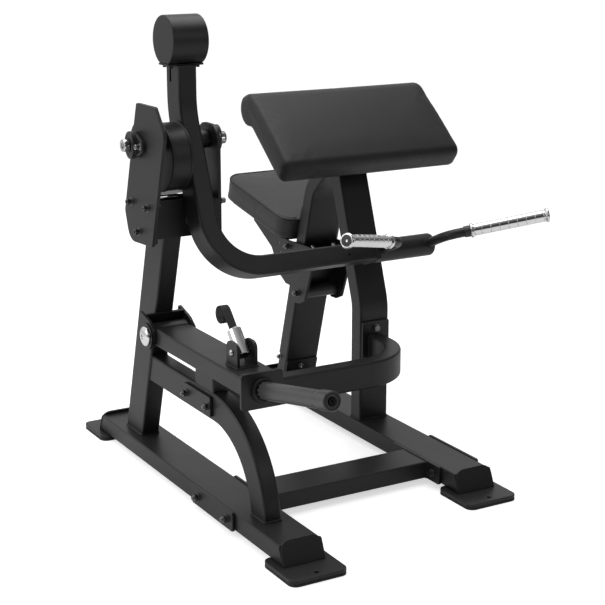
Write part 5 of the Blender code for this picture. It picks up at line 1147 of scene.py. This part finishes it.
def buildArch():
    z, flange, seam = arch["top"] - arch["height"] / 2, arch["flange"], arch["width"] / 2 + gap
    centreY = arch["front"] + arch["height"] / 2 + arch["radius"]
    rear = postFront(z)
    places = follow(placeAt((0, rear - endRoom, z), xWay, -yWay),
                    [(rear - endRoom - centreY,), (arch["radius"], arch["turn"], (0, -1), 40)])
    section = rectangle(arch["width"], arch["height"], 0.007, 8)
    touch = np.array([0, rear, z]) - postNormal * gap
    tube = sweep(section, places, (touch, postNormal), ((0, 0, deck), zWay))
    addPiece("arch_tube", [tube], "coat", "arch_brace")
    beads = [weldOn(section, places[0], touch - yWay * 0.001, postNormal, 0.0030, yWay),
             weldOn(section, places[-1], (0, 0, deck + 0.001), zWay, 0.0030)]
    addPiece("arch_welds", beads, "coat", "frame")
    place = uprightAt((0, centreY + arch["block"] / 2, arch["top"] - 0.001))
    under = lever["middle"] - lever["height"] / 2 - 2 * gap - arch["cushionSpace"]
    height = under - arch["top"] + 0.001
    block = rectangle(arch["width"] - 0.002, arch["block"], 0.005)
    addPiece("arch_stop_block", [plateShell(block, height, place, 0.0015)], "coat", "arch_brace")
    cushion = rectangle(arch["width"], arch["block"], 0.005)
    cushion = plateShell(cushion, arch["cushion"], moved(place, w=height + gap), 0.0015)
    addPiece("lever_stop_cushion", [cushion], "rubber", "lever_stop_pad")
    outline = rectangle(arch["plateLength"], arch["plateHeight"], 0.006)
    x, middle = -seam - flange, sum(arch["bolts"]) / 2
    holes = [(y - middle, 0, 0.0063) for y in arch["bolts"]]
    side = plateShell(outline, flange, sideAt((x, middle, z)), 0.0012, holes)
    addPiece("arch_side_plate", [side], "coat", "arch_backing_plate")
    bolts = []
    for y in arch["bolts"]:
        bolts += hexNut(placeAt((x, y, z), zWay, -xWay), arch["bolt"])
        bolts += hexBolt(acrossAt((seam + flange, y, z)), arch["bolt"])
    addPiece("arch_bolts", bolts, "zinc", "frame")


bar = {"y": -0.213, "depth": 0.050, "bendRadius": 0.160, "flangeHeight": 0.170, "flangeWidth": 0.094,
       "postFront": -0.001, "boltRise": 0.063, "bolt": 0.012}


def buildCrossbar():
    z, low, flange = arch["top"] - arch["height"] / 2, arch["width"] / 2 + gap, arch["flange"]
    places = follow(sideAt((low + 0.007, bar["y"], z)),
                    [(base["spacing"] - bar["bendRadius"] - low - 0.007,),
                     (bar["bendRadius"], pi / 2, (1, 0), 40)])
    section = rectangle(bar["depth"], arch["height"], 0.007, 8)
    face = bar["postFront"] - gap - flange
    places = np.concatenate([places, moved(places[-1], w=face + 0.001 - places[-1][1, 3])[None]])
    addPiece("crossbar_tube", [sweep(section, places)], "coat", "crossbar")
    inner = sideAt((low, sum(arch["bolts"]) / 2, z))
    outer = placeAt((base["spacing"], face + flange, z), xWay, -yWay)
    shells = [plateShell(rectangle(arch["plateLength"], arch["plateHeight"], 0.006), flange, inner, 0.0012),
              plateShell(rectangle(bar["flangeWidth"], bar["flangeHeight"], 0.006), flange, outer, 0.0012)]
    addPiece("crossbar_flanges", shells, "coat", "crossbar")
    beads = [weldRim(section, places[0], xWay, 0.0018), weldRim(section, places[-1], yWay, -0.0018)]
    addPiece("crossbar_welds", beads, "coat", "frame")
    bolts = []
    for height in (z - bar["boltRise"], z + bar["boltRise"]):
        bolts += hexBolt(placeAt((base["spacing"], face, height), xWay, -yWay), bar["bolt"])
        behind = (base["spacing"], bar["postFront"] + padPost["depth"], height)
        bolts += hexNut(placeAt(behind, xWay, yWay), bar["bolt"])
    addPiece("crossbar_post_bolts", bolts, "zinc", "frame")


# Lever bracket and its pin

leverPin = {"space": 0.002, "ear": 0.008, "bore": 0.0128, "ring": 0.038, "ringThickness": 0.004,
            "cap": 0.0285, "capRise": 0.010, "dimple": 0.0080}


def buildLeverPin():
    face = lever["width"] / 2 + leverPin["space"] + leverPin["ear"] + gap
    ring = wallProfile(leverPin["bore"], leverPin["ring"], 0, leverPin["ringThickness"],
                       (0.0004, 0.001, 0.0012, 0.0004), 4)
    for way, name in sides:
        place = placeAt(leverPoint + xWay * way * face, zWay, xWay * way)
        addPiece(f"{name}_pin_ring", [lathe(ring, place, 72, closed=True)], "oxide", f"pin_washer_{name}")
    # cap: a short cylinder, a quarter ellipse up to the flat middle, then a shallow dimple
    reach, radius, t = face + 0.0043, leverPin["cap"], np.linspace(0, pi / 2, 9)
    dome = [(0.0125, reach), (0.0275, reach), (radius, reach + 0.001)]
    dome += [(radius * cos(a), reach + 0.003 + leverPin["capRise"] * sin(a)) for a in t
             if radius * cos(a) > leverPin["dimple"]]
    dome += [(0.0076, reach + 0.0124), (0.0070, reach + 0.0085), (0, reach + 0.0070)]
    addPiece("lever_pin_bar", [lathe(bothEnds(dome), acrossAt(leverPoint), 72)], "chrome", "lever_pin")


# Pad post, seat leg and guide rail

leg = {"front": 0.463, "depth": 0.050, "lean": radians(16.1), "kinkZ": 0.740, "topLean": radians(47),
       "radius": 0.120, "footHeight": 0.074, "nut": 0.0085}
padPost = {"width": 0.100, "depth": 0.055, "kinkZ": 0.430, "lean": radians(19), "radius": 0.150}
legUp = np.array([0, -sin(leg["lean"]), cos(leg["lean"])])
legOut = np.array([0, cos(leg["lean"]), sin(leg["lean"])])
pad = {"tilt": radians(39), "y": 0.0372, "z": 0.8288, "width": 0.624, "length": 0.323, "roll": 0.0480,
       "rollOffset": 0.0235, "edge": 0.024, "lowEdge": 0.010, "endEdge": 0.021, "crown": 0.003,
       "along": 0.132, "lower": 0.0075, "left": 0.0055, "swell": 0.0045, "free": 0.004, "postTop": 0.0206,
       "plateBack": 0.0083, "screw": 0.008, "screwAcross": 0.132, "screwAlong": 0.070}
padCorner = np.array([base["spacing"], pad["y"], pad["z"]])
padUp = np.array([0, cos(pad["tilt"]), sin(pad["tilt"])])
padOut = np.array([0, -sin(pad["tilt"]), cos(pad["tilt"])])


def legPoint(along, off, x=0.0):
    return np.array([base["spacing"] + x, leg["front"], beamTop]) + legUp * along + legOut * off


def buildPosts():
    y = bar["postFront"] + padPost["depth"] / 2
    kink = padPost["radius"] * tan(padPost["lean"] / 2)
    places = follow(uprightAt((base["spacing"], y, deck)),
                    [(padPost["kinkZ"] - kink - deck,), (padPost["radius"], padPost["lean"], (0, 1), 12),
                     (0.35,)])
    section = rectangle(padPost["width"], padPost["depth"], 0.006, 8)
    under = (padCorner - padOut * pad["postTop"], padOut)
    addPiece("pad_post_tube", [sweep(section, places, None, under)], "coat", "pad_post")
    beads = [weldRim(section, places[0], zWay, 0.001, 0.0030)]
    start = moved(placeAt(legPoint(0, leg["depth"] / 2), xWay, legUp), w=0.04)
    bend = leg["topLean"] - leg["lean"]
    straight = (leg["kinkZ"] - beamTop) / cos(leg["lean"]) - 0.04 - leg["radius"] * tan(bend / 2)
    places = follow(start, [(straight,), (leg["radius"], bend, (0, -1), 16), (0.06,)])
    normal = np.array([0, cos(padPost["lean"]), -sin(padPost["lean"])])
    rear = np.array([0, y, padPost["kinkZ"]]) + normal * (padPost["depth"] / 2 + gap)
    section = rectangle(base["width"], leg["depth"], 0.006, 8)
    tube = sweep(section, places, ((0, 0, deck), zWay), (rear, normal))
    addPiece("seat_leg_tube", [tube], "coat", "seat_leg")
    beads += [weldOn(section, places[0], (0, 0, deck + 0.001), zWay, 0.0030),
              weldOn(section, places[-1], rear + normal * 0.001, normal)]
    addPiece("post_and_leg_welds", beads, "coat", "frame")
    height = leg["footHeight"]
    flange = rectangle(base["width"] - 0.004, height, 0.006)
    plate = placeAt(legPoint(height / 2 + 0.004, -0.0002), xWay, -legOut)
    addPiece("seat_leg_foot_plate", [plateShell(flange, 0.005, plate)], "coat", "frame")
    nuts = hexNut(placeAt(legPoint(0.054, -0.0052, -0.004), xWay, -legOut), leg["nut"], 0.003)
    spot = legPoint(0.070, leg["depth"] - 0.006, -base["width"] / 2)
    nuts += hexNut(placeAt(spot, zWay, -xWay), leg["nut"], 0.003)
    addPiece("seat_leg_nuts", nuts, "bright", "frame")


rail = {"low": 0.075, "high": 0.620, "width": 0.110, "corner": 0.005, "lift": 0.003, "thickness": 0.006,
        "top": 0.009, "foot": 0.012, "footHeight": 0.0045, "endFoot": 0.03}


def buildRail():
    low, high = rail["low"], rail["high"]
    place = placeAt(legPoint((low + high) / 2, leg["depth"] + rail["lift"]), xWay, legOut)
    strip = plateShell(rectangle(rail["width"], high - low, rail["corner"]), rail["thickness"], place)
    shells, screws, foot = [strip], [], pinProfile(rail["foot"], gap, rail["footHeight"])
    for along in (low + rail["endFoot"], (low + high) / 2, high - rail["endFoot"]):
        shells.append(lathe(foot, placeAt(legPoint(along, leg["depth"]), xWay, legOut), 32))
        spot = placeAt(legPoint(along, leg["depth"] + 0.0088), xWay, legOut)
        screws.append(boltHead(spot, 0.0110, 0.0014, 0.0050, False, 40))
    addPiece("guide_rail_strip", shells, "coat", "guide_rail")
    addPiece("guide_rail_screws", screws, "oxide", "frame")


# Seat carriage, its rollers and the gas strut

carriage = {
    "clearance": 0.005, "thickness": 0.008, "front": 0.352, "rear": 0.474, "roller": 0.0225,
    "rearRoller": 0.012, "block": (0.480, -0.040, 0.040, 0.034), "axle": 0.0060, "axleBolt": 0.012,
    "bore": 0.0062, "groove": 0.0012, "nut": 0.009, "nutsAt": (0.028, -0.048),
    "small": [(0.464, 0.541, 0.0030), (0.454, 0.512, 0.0030), (0.387, 0.552, 0.0030)],
    "corners": [(0.5306, -0.0509, 0.004), (0.4661, -0.0799, 0.010), (0.3454, -0.0689, 0.012),
                (0.3218, -0.0414, 0.010), (0.3114, -0.0090, 0.010), (0.3513, 0.0296, 0.008),
                (0.3448, 0.0558, 0.008), (0.3548, 0.1003, 0.012), (0.4177, 0.1747, 0.012),
                (0.4485, 0.3095, 0.010)],
}
seat = {"width": 0.303, "frontWidth": 0.216, "length": 0.362, "thickness": 0.071, "y": 0.366, "z": 0.6345,
        "corner": 0.058, "board": 0.012, "boardInset": 0.020, "swell": 0.0050, "free": 0.006,
        "seamInset": 0.0105, "seamDepth": 0.0036, "seamWidth": 0.0026, "weltInset": 0.0035, "welt": 0.0021}
seatSlope = np.array([0, cos(leg["lean"]), sin(leg["lean"])])
seatUp = np.array([0, -sin(leg["lean"]), cos(leg["lean"])])
seatTop = np.array([base["spacing"], seat["y"], seat["z"]])


def buildCarriage():
    board = seatTop - seatUp * (seat["thickness"] + seat["board"] + gap) + seatSlope * seat["boardInset"]
    back = board + seatSlope * seat["length"] * 0.70
    corners = [(back[1], back[2] - gap, 0.006), (board[1], board[2] - gap, 0.002)]
    corners += [(*legPoint(along, off)[1:], radius) for along, off, radius in carriage["corners"]]
    span, thick = base["width"] / 2 + carriage["clearance"], carriage["thickness"]
    front = legPoint(carriage["front"], -carriage["roller"] - gap)
    rear = legPoint(carriage["rear"], leg["depth"] + rail["top"] + carriage["rearRoller"] + gap)
    holes = [(*spot[1:], 0.0063) for spot in (front, rear)] + carriage["small"]
    shells = [plateShell(rounded(corners, 8), thick, sideAt((x, 0, 0)), 0.0010, holes)
              for x in (base["spacing"] - span - thick, base["spacing"] + span)]
    along, off, depth, height = carriage["block"]
    block = rectangle(2 * span + 0.002, depth, 0.004)
    shells.append(plateShell(block, height, uprightAt(legPoint(along, off)), 0.0012))
    addPiece("seat_carriage_plates", shells, "coat", "seat_carriage")
    bolts = []
    for y, z, _ in carriage["small"]:
        for way, _ in sides:
            spot = placeAt((base["spacing"] + way * (span + thick - 0.0018), y, z), zWay, xWay * way)
            bolts.append(boltHead(spot, 0.0062, 0.0008, 0.0036, False, 32))
    for x in carriage["nutsAt"]:
        bolts += hexNut(uprightAt(legPoint(along, off, x) + zWay * height), carriage["nut"], 0.003)
    addPiece("carriage_fasteners", bolts, "bright", "carriage")
    half, outside = span - 0.001, span + thick
    bore, axle, groove = carriage["bore"], carriage["axle"], carriage["groove"]
    for name, spot, radius in (("front", front, carriage["roller"]), ("rear", rear, carriage["rearRoller"])):
        across = acrossAt(spot)
        profile = [(bore, -half, 0.0005), (radius, -half, 0.002), (radius, -half + 0.014, 0.0006),
                   (radius - groove, -half + 0.016, 0.0006), (radius - groove, half - 0.016, 0.0006),
                   (radius, half - 0.014, 0.0006), (radius, half, 0.002), (bore, half, 0.0005)]
        drum = lathe(rounded(profile, 4), across, 64, closed=True)
        addPiece(f"{name}_roller_drum", [drum], "nylon", f"{name}_roller")
        shells = [lathe(pinProfile(axle, -outside - 0.004, outside + 0.004), across, 32)]
        shells += hexNut(placeAt(spot - xWay * (outside + 0.0001), zWay, -xWay), carriage["axleBolt"])
        shells += hexBolt(acrossAt(spot + xWay * (outside + 0.0001)), carriage["axleBolt"])
        addPiece(f"{name}_roller_bolt", shells, "zinc", f"{name}_roller_shaft")


strut = {"radius": 0.0095, "rod": 0.005, "length": 0.230, "top": 0.690, "start": 0.135, "travel": 0.160,
         "stud": 0.085, "groove": 0.0006, "tab": 0.006, "eye": 0.0075, "boot": 0.0085, "clip": 0.0125}


def buildStrut():
    x = base["width"] / 2 + carriage["clearance"] + carriage["thickness"] + strut["radius"] + 0.001
    top = legPoint(strut["top"], leg["depth"], x)
    place = placeAt(top, xWay, -legUp)
    start, end, radius, core = strut["start"], strut["start"] + strut["length"], strut["radius"], strut["rod"]
    inner, reach = core + 0.0002, start + strut["travel"] + 0.040
    rod = lathe(pinProfile(core, 0.0053, reach), place, 40)
    addPiece("strut_piston_rod", [rod], "chrome", "strut_rod")
    low = radius - strut["groove"]
    tube = rounded([(inner, start, 0), (radius, start, 0.0025), (radius, start + 0.007, 0.0006),
                    (low, start + 0.008, 0.0004), (low, start + 0.0095, 0.0004),
                    (radius, start + 0.0105, 0.0006), (radius, end, 0.003), (0, end, 0), (0, end - 0.006, 0),
                    (inner, end - 0.006, 0)], 5)
    stud = placeAt(moved(place, u=-(radius + 0.0007), w=start + strut["stud"])[:3, 3], legUp, xWay)
    shells = [lathe(tube, place, 48, closed=True), lathe(pinProfile(0.005, 0, 0.004), stud, 24)]
    addPiece("strut_gas_cylinder", shells, "coat", "strut_cylinder")
    side, thick, eye = base["spacing"] + base["width"] / 2, strut["tab"], strut["eye"]
    middle = (legPoint(strut["top"], leg["depth"] / 2, 0) + top) / 2
    tab = plateShell(rectangle(0.050, 0.030, 0.010), thick, placeAt((side, *middle[1:]), legOut, xWay))
    out = top[0] + thick - side
    eye = rounded([(0, 0, 0), (0.005, 0, 0), (0.005, out, 0), (eye, out, 0.0004), (eye, out + 0.0025, 0.0012),
                   (0, out + 0.0025, 0)], 4)
    pin = placeAt((side + thick / 2, *top[1:]), legOut, xWay)
    addPiece("strut_upper_tab", [tab, lathe(eye, pin, 32)], "coat", "seat_leg")
    boot = wallProfile(0.0054, strut["boot"], 0.002, 0.026, (0, 0.001, 0.0015, 0), 4)
    addPiece("strut_upper_boot", [lathe(boot, place, 40, closed=True)], "nylon", "frame")
    # spring clip: a wire ring round the boot
    clip = placeAt(moved(place, w=0.014)[:3, 3], legUp + xWay, legUp * 0.3 + legOut)
    wire = weldBead(ringPath(clip, strut["clip"], 40), legOut, 0.0009, 0.2)
    addPiece("strut_wire_clip", [wire], "chrome", "frame")


# Seat and arm pad, swollen by the cloth simulation

swell = {"voxel": 0.005, "pressure": 4.0, "frames": 20, "fade": 0.020}


def pointsOf(mesh):
    flat = np.empty(len(mesh.vertices) * 3, dtype=np.float32)
    mesh.vertices.foreach_get("co", flat)
    return flat.reshape(-1, 3).astype(float)


def swollen(shell, cap, rest, way, free):
    # the pad swells as cloth under pressure; its largest move is scaled to cap. A point's share of its move
    # is (height over the point rest, measured along way, - free) / fade, so that the lower face stays flat
    work = newObject("pad work", shellMesh("pad", [shell], near=1e-6))
    grid = work.modifiers.new("voxels", "REMESH")
    grid.mode, grid.voxel_size = "VOXEL", swell["voxel"]
    even = settled(work)
    work.modifiers.clear()
    work.data = even
    before = pointsOf(even)
    cloth = work.modifiers.new("cloth", "CLOTH")
    cloth.settings.use_pressure = True
    cloth.settings.uniform_pressure_force = swell["pressure"]
    cloth.settings.effector_weights.gravity = 0
    cloth.point_cache.frame_start, cloth.point_cache.frame_end = 1, swell["frames"]
    for number in range(1, swell["frames"] + 1):
        bpy.context.scene.frame_set(number)
    after = pointsOf(settled(work))
    bpy.context.scene.frame_set(1)
    work.modifiers.clear()
    share = np.clip(((before - shift - rest) @ way - free) / swell["fade"], 0, 1)
    move = np.nan_to_num(after - before) * share[:, None]
    reach = np.linalg.norm(move, axis=1, keepdims=True)
    limit = max(np.percentile(reach, 97), 1e-6)
    print("pad swells by", round(limit * 1000, 1), "mm before its cap of", round(cap * 1000, 1))
    move *= np.minimum(cap / limit, cap / np.maximum(reach, 1e-9))
    even.vertices.foreach_set("co", (before + move).astype(np.float32).ravel())
    finer = work.modifiers.new("finer", "SUBSURF")
    finer.levels = finer.render_levels = 1
    made = settled(work)
    bpy.data.objects.remove(work, do_unlink=True)
    return made


def padSection():
    # side outline (along, height): flat underside and front, rounded top edge, a roll at the high edge
    radius, offset, length = pad["roll"], pad["rollOffset"], pad["length"]
    thickness = radius + offset
    touch = length - radius - sqrt(radius ** 2 - offset ** 2)
    first = atan2(-offset, touch - length + radius)
    a = first + ((pi / 2 - first) % (2 * pi)) * np.linspace(0, 1, 40)
    rollArc = np.stack([length - radius + radius * np.cos(a), offset + radius * np.sin(a)], 1)
    run = length - radius - pad["edge"]
    share = np.linspace(0.95, 0.05, 24)
    top = np.stack([pad["edge"] + run * share, thickness + pad["crown"] * np.sin(pi * share)], 1)
    b = pi / 2 + np.linspace(0, pi / 2, 10)
    edge = np.stack([pad["edge"] * (1 + np.cos(b)), thickness - pad["edge"] * (1 - np.sin(b))], 1)
    c = pi + np.linspace(0, pi / 2, 6)
    low = pad["lowEdge"] * np.stack([1 + np.cos(c), 1 + np.sin(c)], 1)
    under = np.stack([np.linspace(pad["lowEdge"] * 1.6, touch, 16), np.zeros(16)], 1)
    return np.concatenate([under, rollArc[1:], top, edge, low])


def buildArmPad():
    section = padSection()
    corner = padCorner - padUp * pad["lower"] - xWay * pad["left"]
    centre = np.array([pad["length"] / 2, (pad["roll"] + pad["rollOffset"]) / 2])
    section = centre + (section - centre) * (1 - np.array([0.0012, 0.0008]) / np.abs(centre))
    a = np.linspace(0, pi / 2, 9)
    ends = np.stack([pad["endEdge"] * (1 - np.cos(a)) - pad["width"] / 2 + 0.001,
                     pad["endEdge"] * (1 - np.sin(a))], 1)
    levels = np.concatenate([ends, [(x, 0) for x in np.linspace(-0.26, 0.26, 30)], ends[::-1] * (-1, 1)])
    away = section - centre
    rings = []
    for x, draw in levels:
        p = section - np.sign(away) * np.minimum(draw, np.abs(away))
        rings.append(corner + xWay * x + padUp * p[:, :1] + padOut * p[:, 1:])
    mesh = swollen(gridShell(np.array(rings)), pad["swell"], padCorner, padOut, pad["free"])
    made = placePiece("arm_pad_cushion", mesh, "vinyl", "arm_pad", 60)
    screws = []
    for dx in (-pad["screwAcross"], pad["screwAcross"]):
        for dv in (-pad["screwAlong"], pad["screwAlong"]):
            spot = padCorner + xWay * dx + padUp * (pad["along"] + dv) - padOut * pad["plateBack"]
            screws += capScrew(placeAt(spot, xWay, -padOut), pad["screw"])
    addPiece("pad_plate_screws", screws, "oxide", "frame")


def seatOutline(draw, steps=14):
    half, radius = seat["length"] / 2 - draw, seat["corner"] - draw
    front, rear = seat["frontWidth"] / 2 - draw, seat["width"] / 2 - draw
    corners = [(-front, -half), (front, -half), (rear, half), (-rear, half)]
    return rounded([(u, v, radius) for u, v in corners], steps)


def buildSeat():
    middle = seatTop + seatSlope * seat["length"] / 2 - seatUp * seat["thickness"]
    place = placeAt(middle, xWay, seatUp)
    t = np.linspace(0, pi / 2, 7)
    levels = [(0, 0.006), (0.003, 0.001), (0.020, 0.0026), (0.040, 0.0016)]
    levels += [(seat["thickness"] - 0.0100 + 0.009 * sin(a), 0.001 + 0.009 * (1 - cos(a))) for a in t]
    rings = [np.column_stack([seatOutline(draw), np.full(60, height)]) for height, draw in levels]
    last = rings[-1]
    for share in (0.85, 0.7, 0.5, 0.3, 0.12):
        rings.append(last * (share, share, 1) + zWay * 0.003 * (1 - share ** 2))
    shell = gridShell(carried([ring.T for ring in rings], place))
    mesh = swollen(shell, seat["swell"], middle, seatUp, seat["free"])
    # seam: on the top, a furrow follows the outline at a fixed distance inside it
    local = carried([(pointsOf(mesh) - shift).T], np.linalg.inv(place))[0]
    top = local[:, 2] > seat["thickness"] - 0.016
    outline = seatOutline(seat["seamInset"], 40)
    distance = np.full(len(local), 1.0)
    distance[top] = np.sqrt(((local[top, None, :2] - outline[None]) ** 2).sum(2)).min(1)
    local[:, 2] -= np.where(top, seat["seamDepth"] * np.exp(-(distance / seat["seamWidth"]) ** 2), 0)
    moving = carried([local.T], place)[0] + shift
    mesh.vertices.foreach_set("co", moving.astype(np.float32).ravel())
    # the cover takes the lighter vinyl, whose colour is painted light for the seat's lit top
    made = placePiece("seat_cushion_cover", mesh, "seatVinylPaintedLight", "seat_cushion", 60)
    # welt: a sewn cord along the top edge, at the height that the swollen cover has there
    welt = seatOutline(seat["weltInset"], 24)
    near = ((local[None, :, :2] - welt[:, None]) ** 2).sum(2) < 0.004 ** 2
    rise = np.where(near, local[None, :, 2], 0).max(1)
    rise = (np.roll(rise, 1) + rise + np.roll(rise, -1)) / 3 - 0.0008
    path = carried([(*welt.T, rise)], place)[0]
    addPiece("seat_cushion_welt", [weldBead(path, seatUp, seat["welt"])], "rubber", "carriage")
    under = moved(place, w=-seat["board"] - gap)
    panel = plateShell(seatOutline(seat["boardInset"]), seat["board"], under, 0.002)
    addPiece("seat_board_panel", [panel], "board", "seat_board")


def softenNode(name, width):
    # a CAD solid that keeps its own shape gets its sharp edges rounded by modifiers
    node = frame["nodes"][name]
    weld = node.modifiers.new("joined", "WELD")
    weld.merge_threshold = 0.00002
    flatten = node.modifiers.new("flat faces", "DECIMATE")
    flatten.decimate_type, flatten.angle_limit = "DISSOLVE", radians(0.5)
    edge = node.modifiers.new("edges", "BEVEL")
    edge.width, edge.segments, edge.limit_method, edge.angle_limit = width, 3, "ANGLE", radians(35)
    edge.use_clamp_overlap = True


buildPost()
buildPivotPlates()
buildBearings()
buildBumper()
print("post and head built")
buildArm()
buildCounterweight()
buildCam()
buildHandle()
print("arm and handle built")
buildLever()
buildHorn()
buildClevis()
buildLeverPin()
print("lever built")
buildArch()
buildCrossbar()
buildPosts()
buildRail()
buildCarriage()
buildStrut()
print("posts and carriage built")
buildArmPad()
buildSeat()
print("pads built")

for name, width in (("head_block", 0.0012), ("lever_bracket", 0.0012), ("pad_plate", 0.0010)):
    softenNode(name, width)
for name, node in frame["nodes"].items():
    node.data.materials.clear()
    node.data.materials.append(finishes["coat"][0])


# Floor, light and camera

studio = {
    "field": [(-14, -9, 0), (14, -9, 0), (14, 60, 0), (-14, 60, 0)],
    "floor": (0.86, 0.86, 0.86, 1), "floorGlow": 0.62, "glossyShare": 0.12, "behind": 0.80, "front": 0.05,
    "towards": (-0.30, 0.80, 0.52), "low": -0.35, "high": 0.85, "lampAim": (0, 0, 0.6),
    "lamps": [("side", (-3.4, 0.3, 2.2), 36, 2.2), ("above", (0.2, 0.4, 3.6), 46, 2.4),
              ("front", (1.2, -4.0, 2.9), 17, 2.0)],
}
view = {"lens": 89.1, "sensor": 36.0, "spot": (-1.725, -3.68797, 1.612),
        "axes": [(0.8660, -0.5, 0), (0.1294, 0.2241, 0.9659), (-0.4830, -0.8365, 0.2588)]}


def seenShare(tree):
    # 1 for rays from the camera, straight or through glass
    rays = addNode(tree, "ShaderNodeLightPath").outputs
    return rays, math(tree, "MAXIMUM", rays["Is Camera Ray"], rays["Is Transmission Ray"])


def buildStage():
    floor = bpy.data.meshes.new("studio floor")
    floor.from_pydata(studio["field"], [], [(0, 1, 2, 3)])
    material, tree, shader = newMaterial("pale floor", Base_Color=studio["floor"], Roughness=0.9,
                                         Specular_IOR_Level=0.0, Emission_Color=(1, 1, 1, 1))
    rays, seen = seenShare(tree)
    seen = math(tree, "MAXIMUM", seen, math(tree, "MULTIPLY", rays["Is Glossy Ray"], studio["glossyShare"]))
    feed(tree, shader, {"Emission Strength": math(tree, "MULTIPLY", seen, studio["floorGlow"])})
    floor.materials.append(material)
    newObject("studio_floor", floor)

    # the surround is white to the camera; it lights the object from behind and above, and less from the front
    world = bpy.data.worlds.new("studio")
    bpy.context.scene.world = world
    world.use_nodes = True
    tree = world.node_tree
    way = addNode(tree, "ShaderNodeTexCoord").outputs["Generated"]
    side = addNode(tree, "ShaderNodeVectorMath", {0: way, 1: tuple(unit(studio["towards"]))},
                   operation="DOT_PRODUCT").outputs["Value"]
    glow = addNode(tree, "ShaderNodeMapRange", {"Value": side, "From Min": studio["low"],
                                                "From Max": studio["high"], "To Min": studio["front"],
                                                "To Max": studio["behind"]},
                   interpolation_type="SMOOTHSTEP").outputs["Result"]
    strength = math(tree, "MAXIMUM", seenShare(tree)[1], glow)
    feed(tree, tree.nodes["Background"].inputs, {"Color": (1, 1, 1, 1), "Strength": strength})

    for name, spot, power, size in studio["lamps"]:
        light = bpy.data.lights.new(name, "AREA")
        light.energy, light.size = power, size
        place = placeAt(spot, yWay, np.array(spot) - np.array(studio["lampAim"]))
        newObject(name, light).matrix_world = Matrix(place.tolist())


def buildCamera():
    camera = bpy.data.cameras.new("camera")
    camera.lens, camera.sensor_width = view["lens"], view["sensor"]
    made = newObject("camera", camera)
    place = np.eye(4)
    place[:3, :3] = np.transpose(view["axes"])
    place[:3, 3] = np.array(view["spot"]) + shift
    made.matrix_world = Matrix(place.tolist())
    bpy.context.scene.camera = made


buildStage()
buildCamera()
bpy.context.scene.view_settings.view_transform = "Standard"
print("stage set")
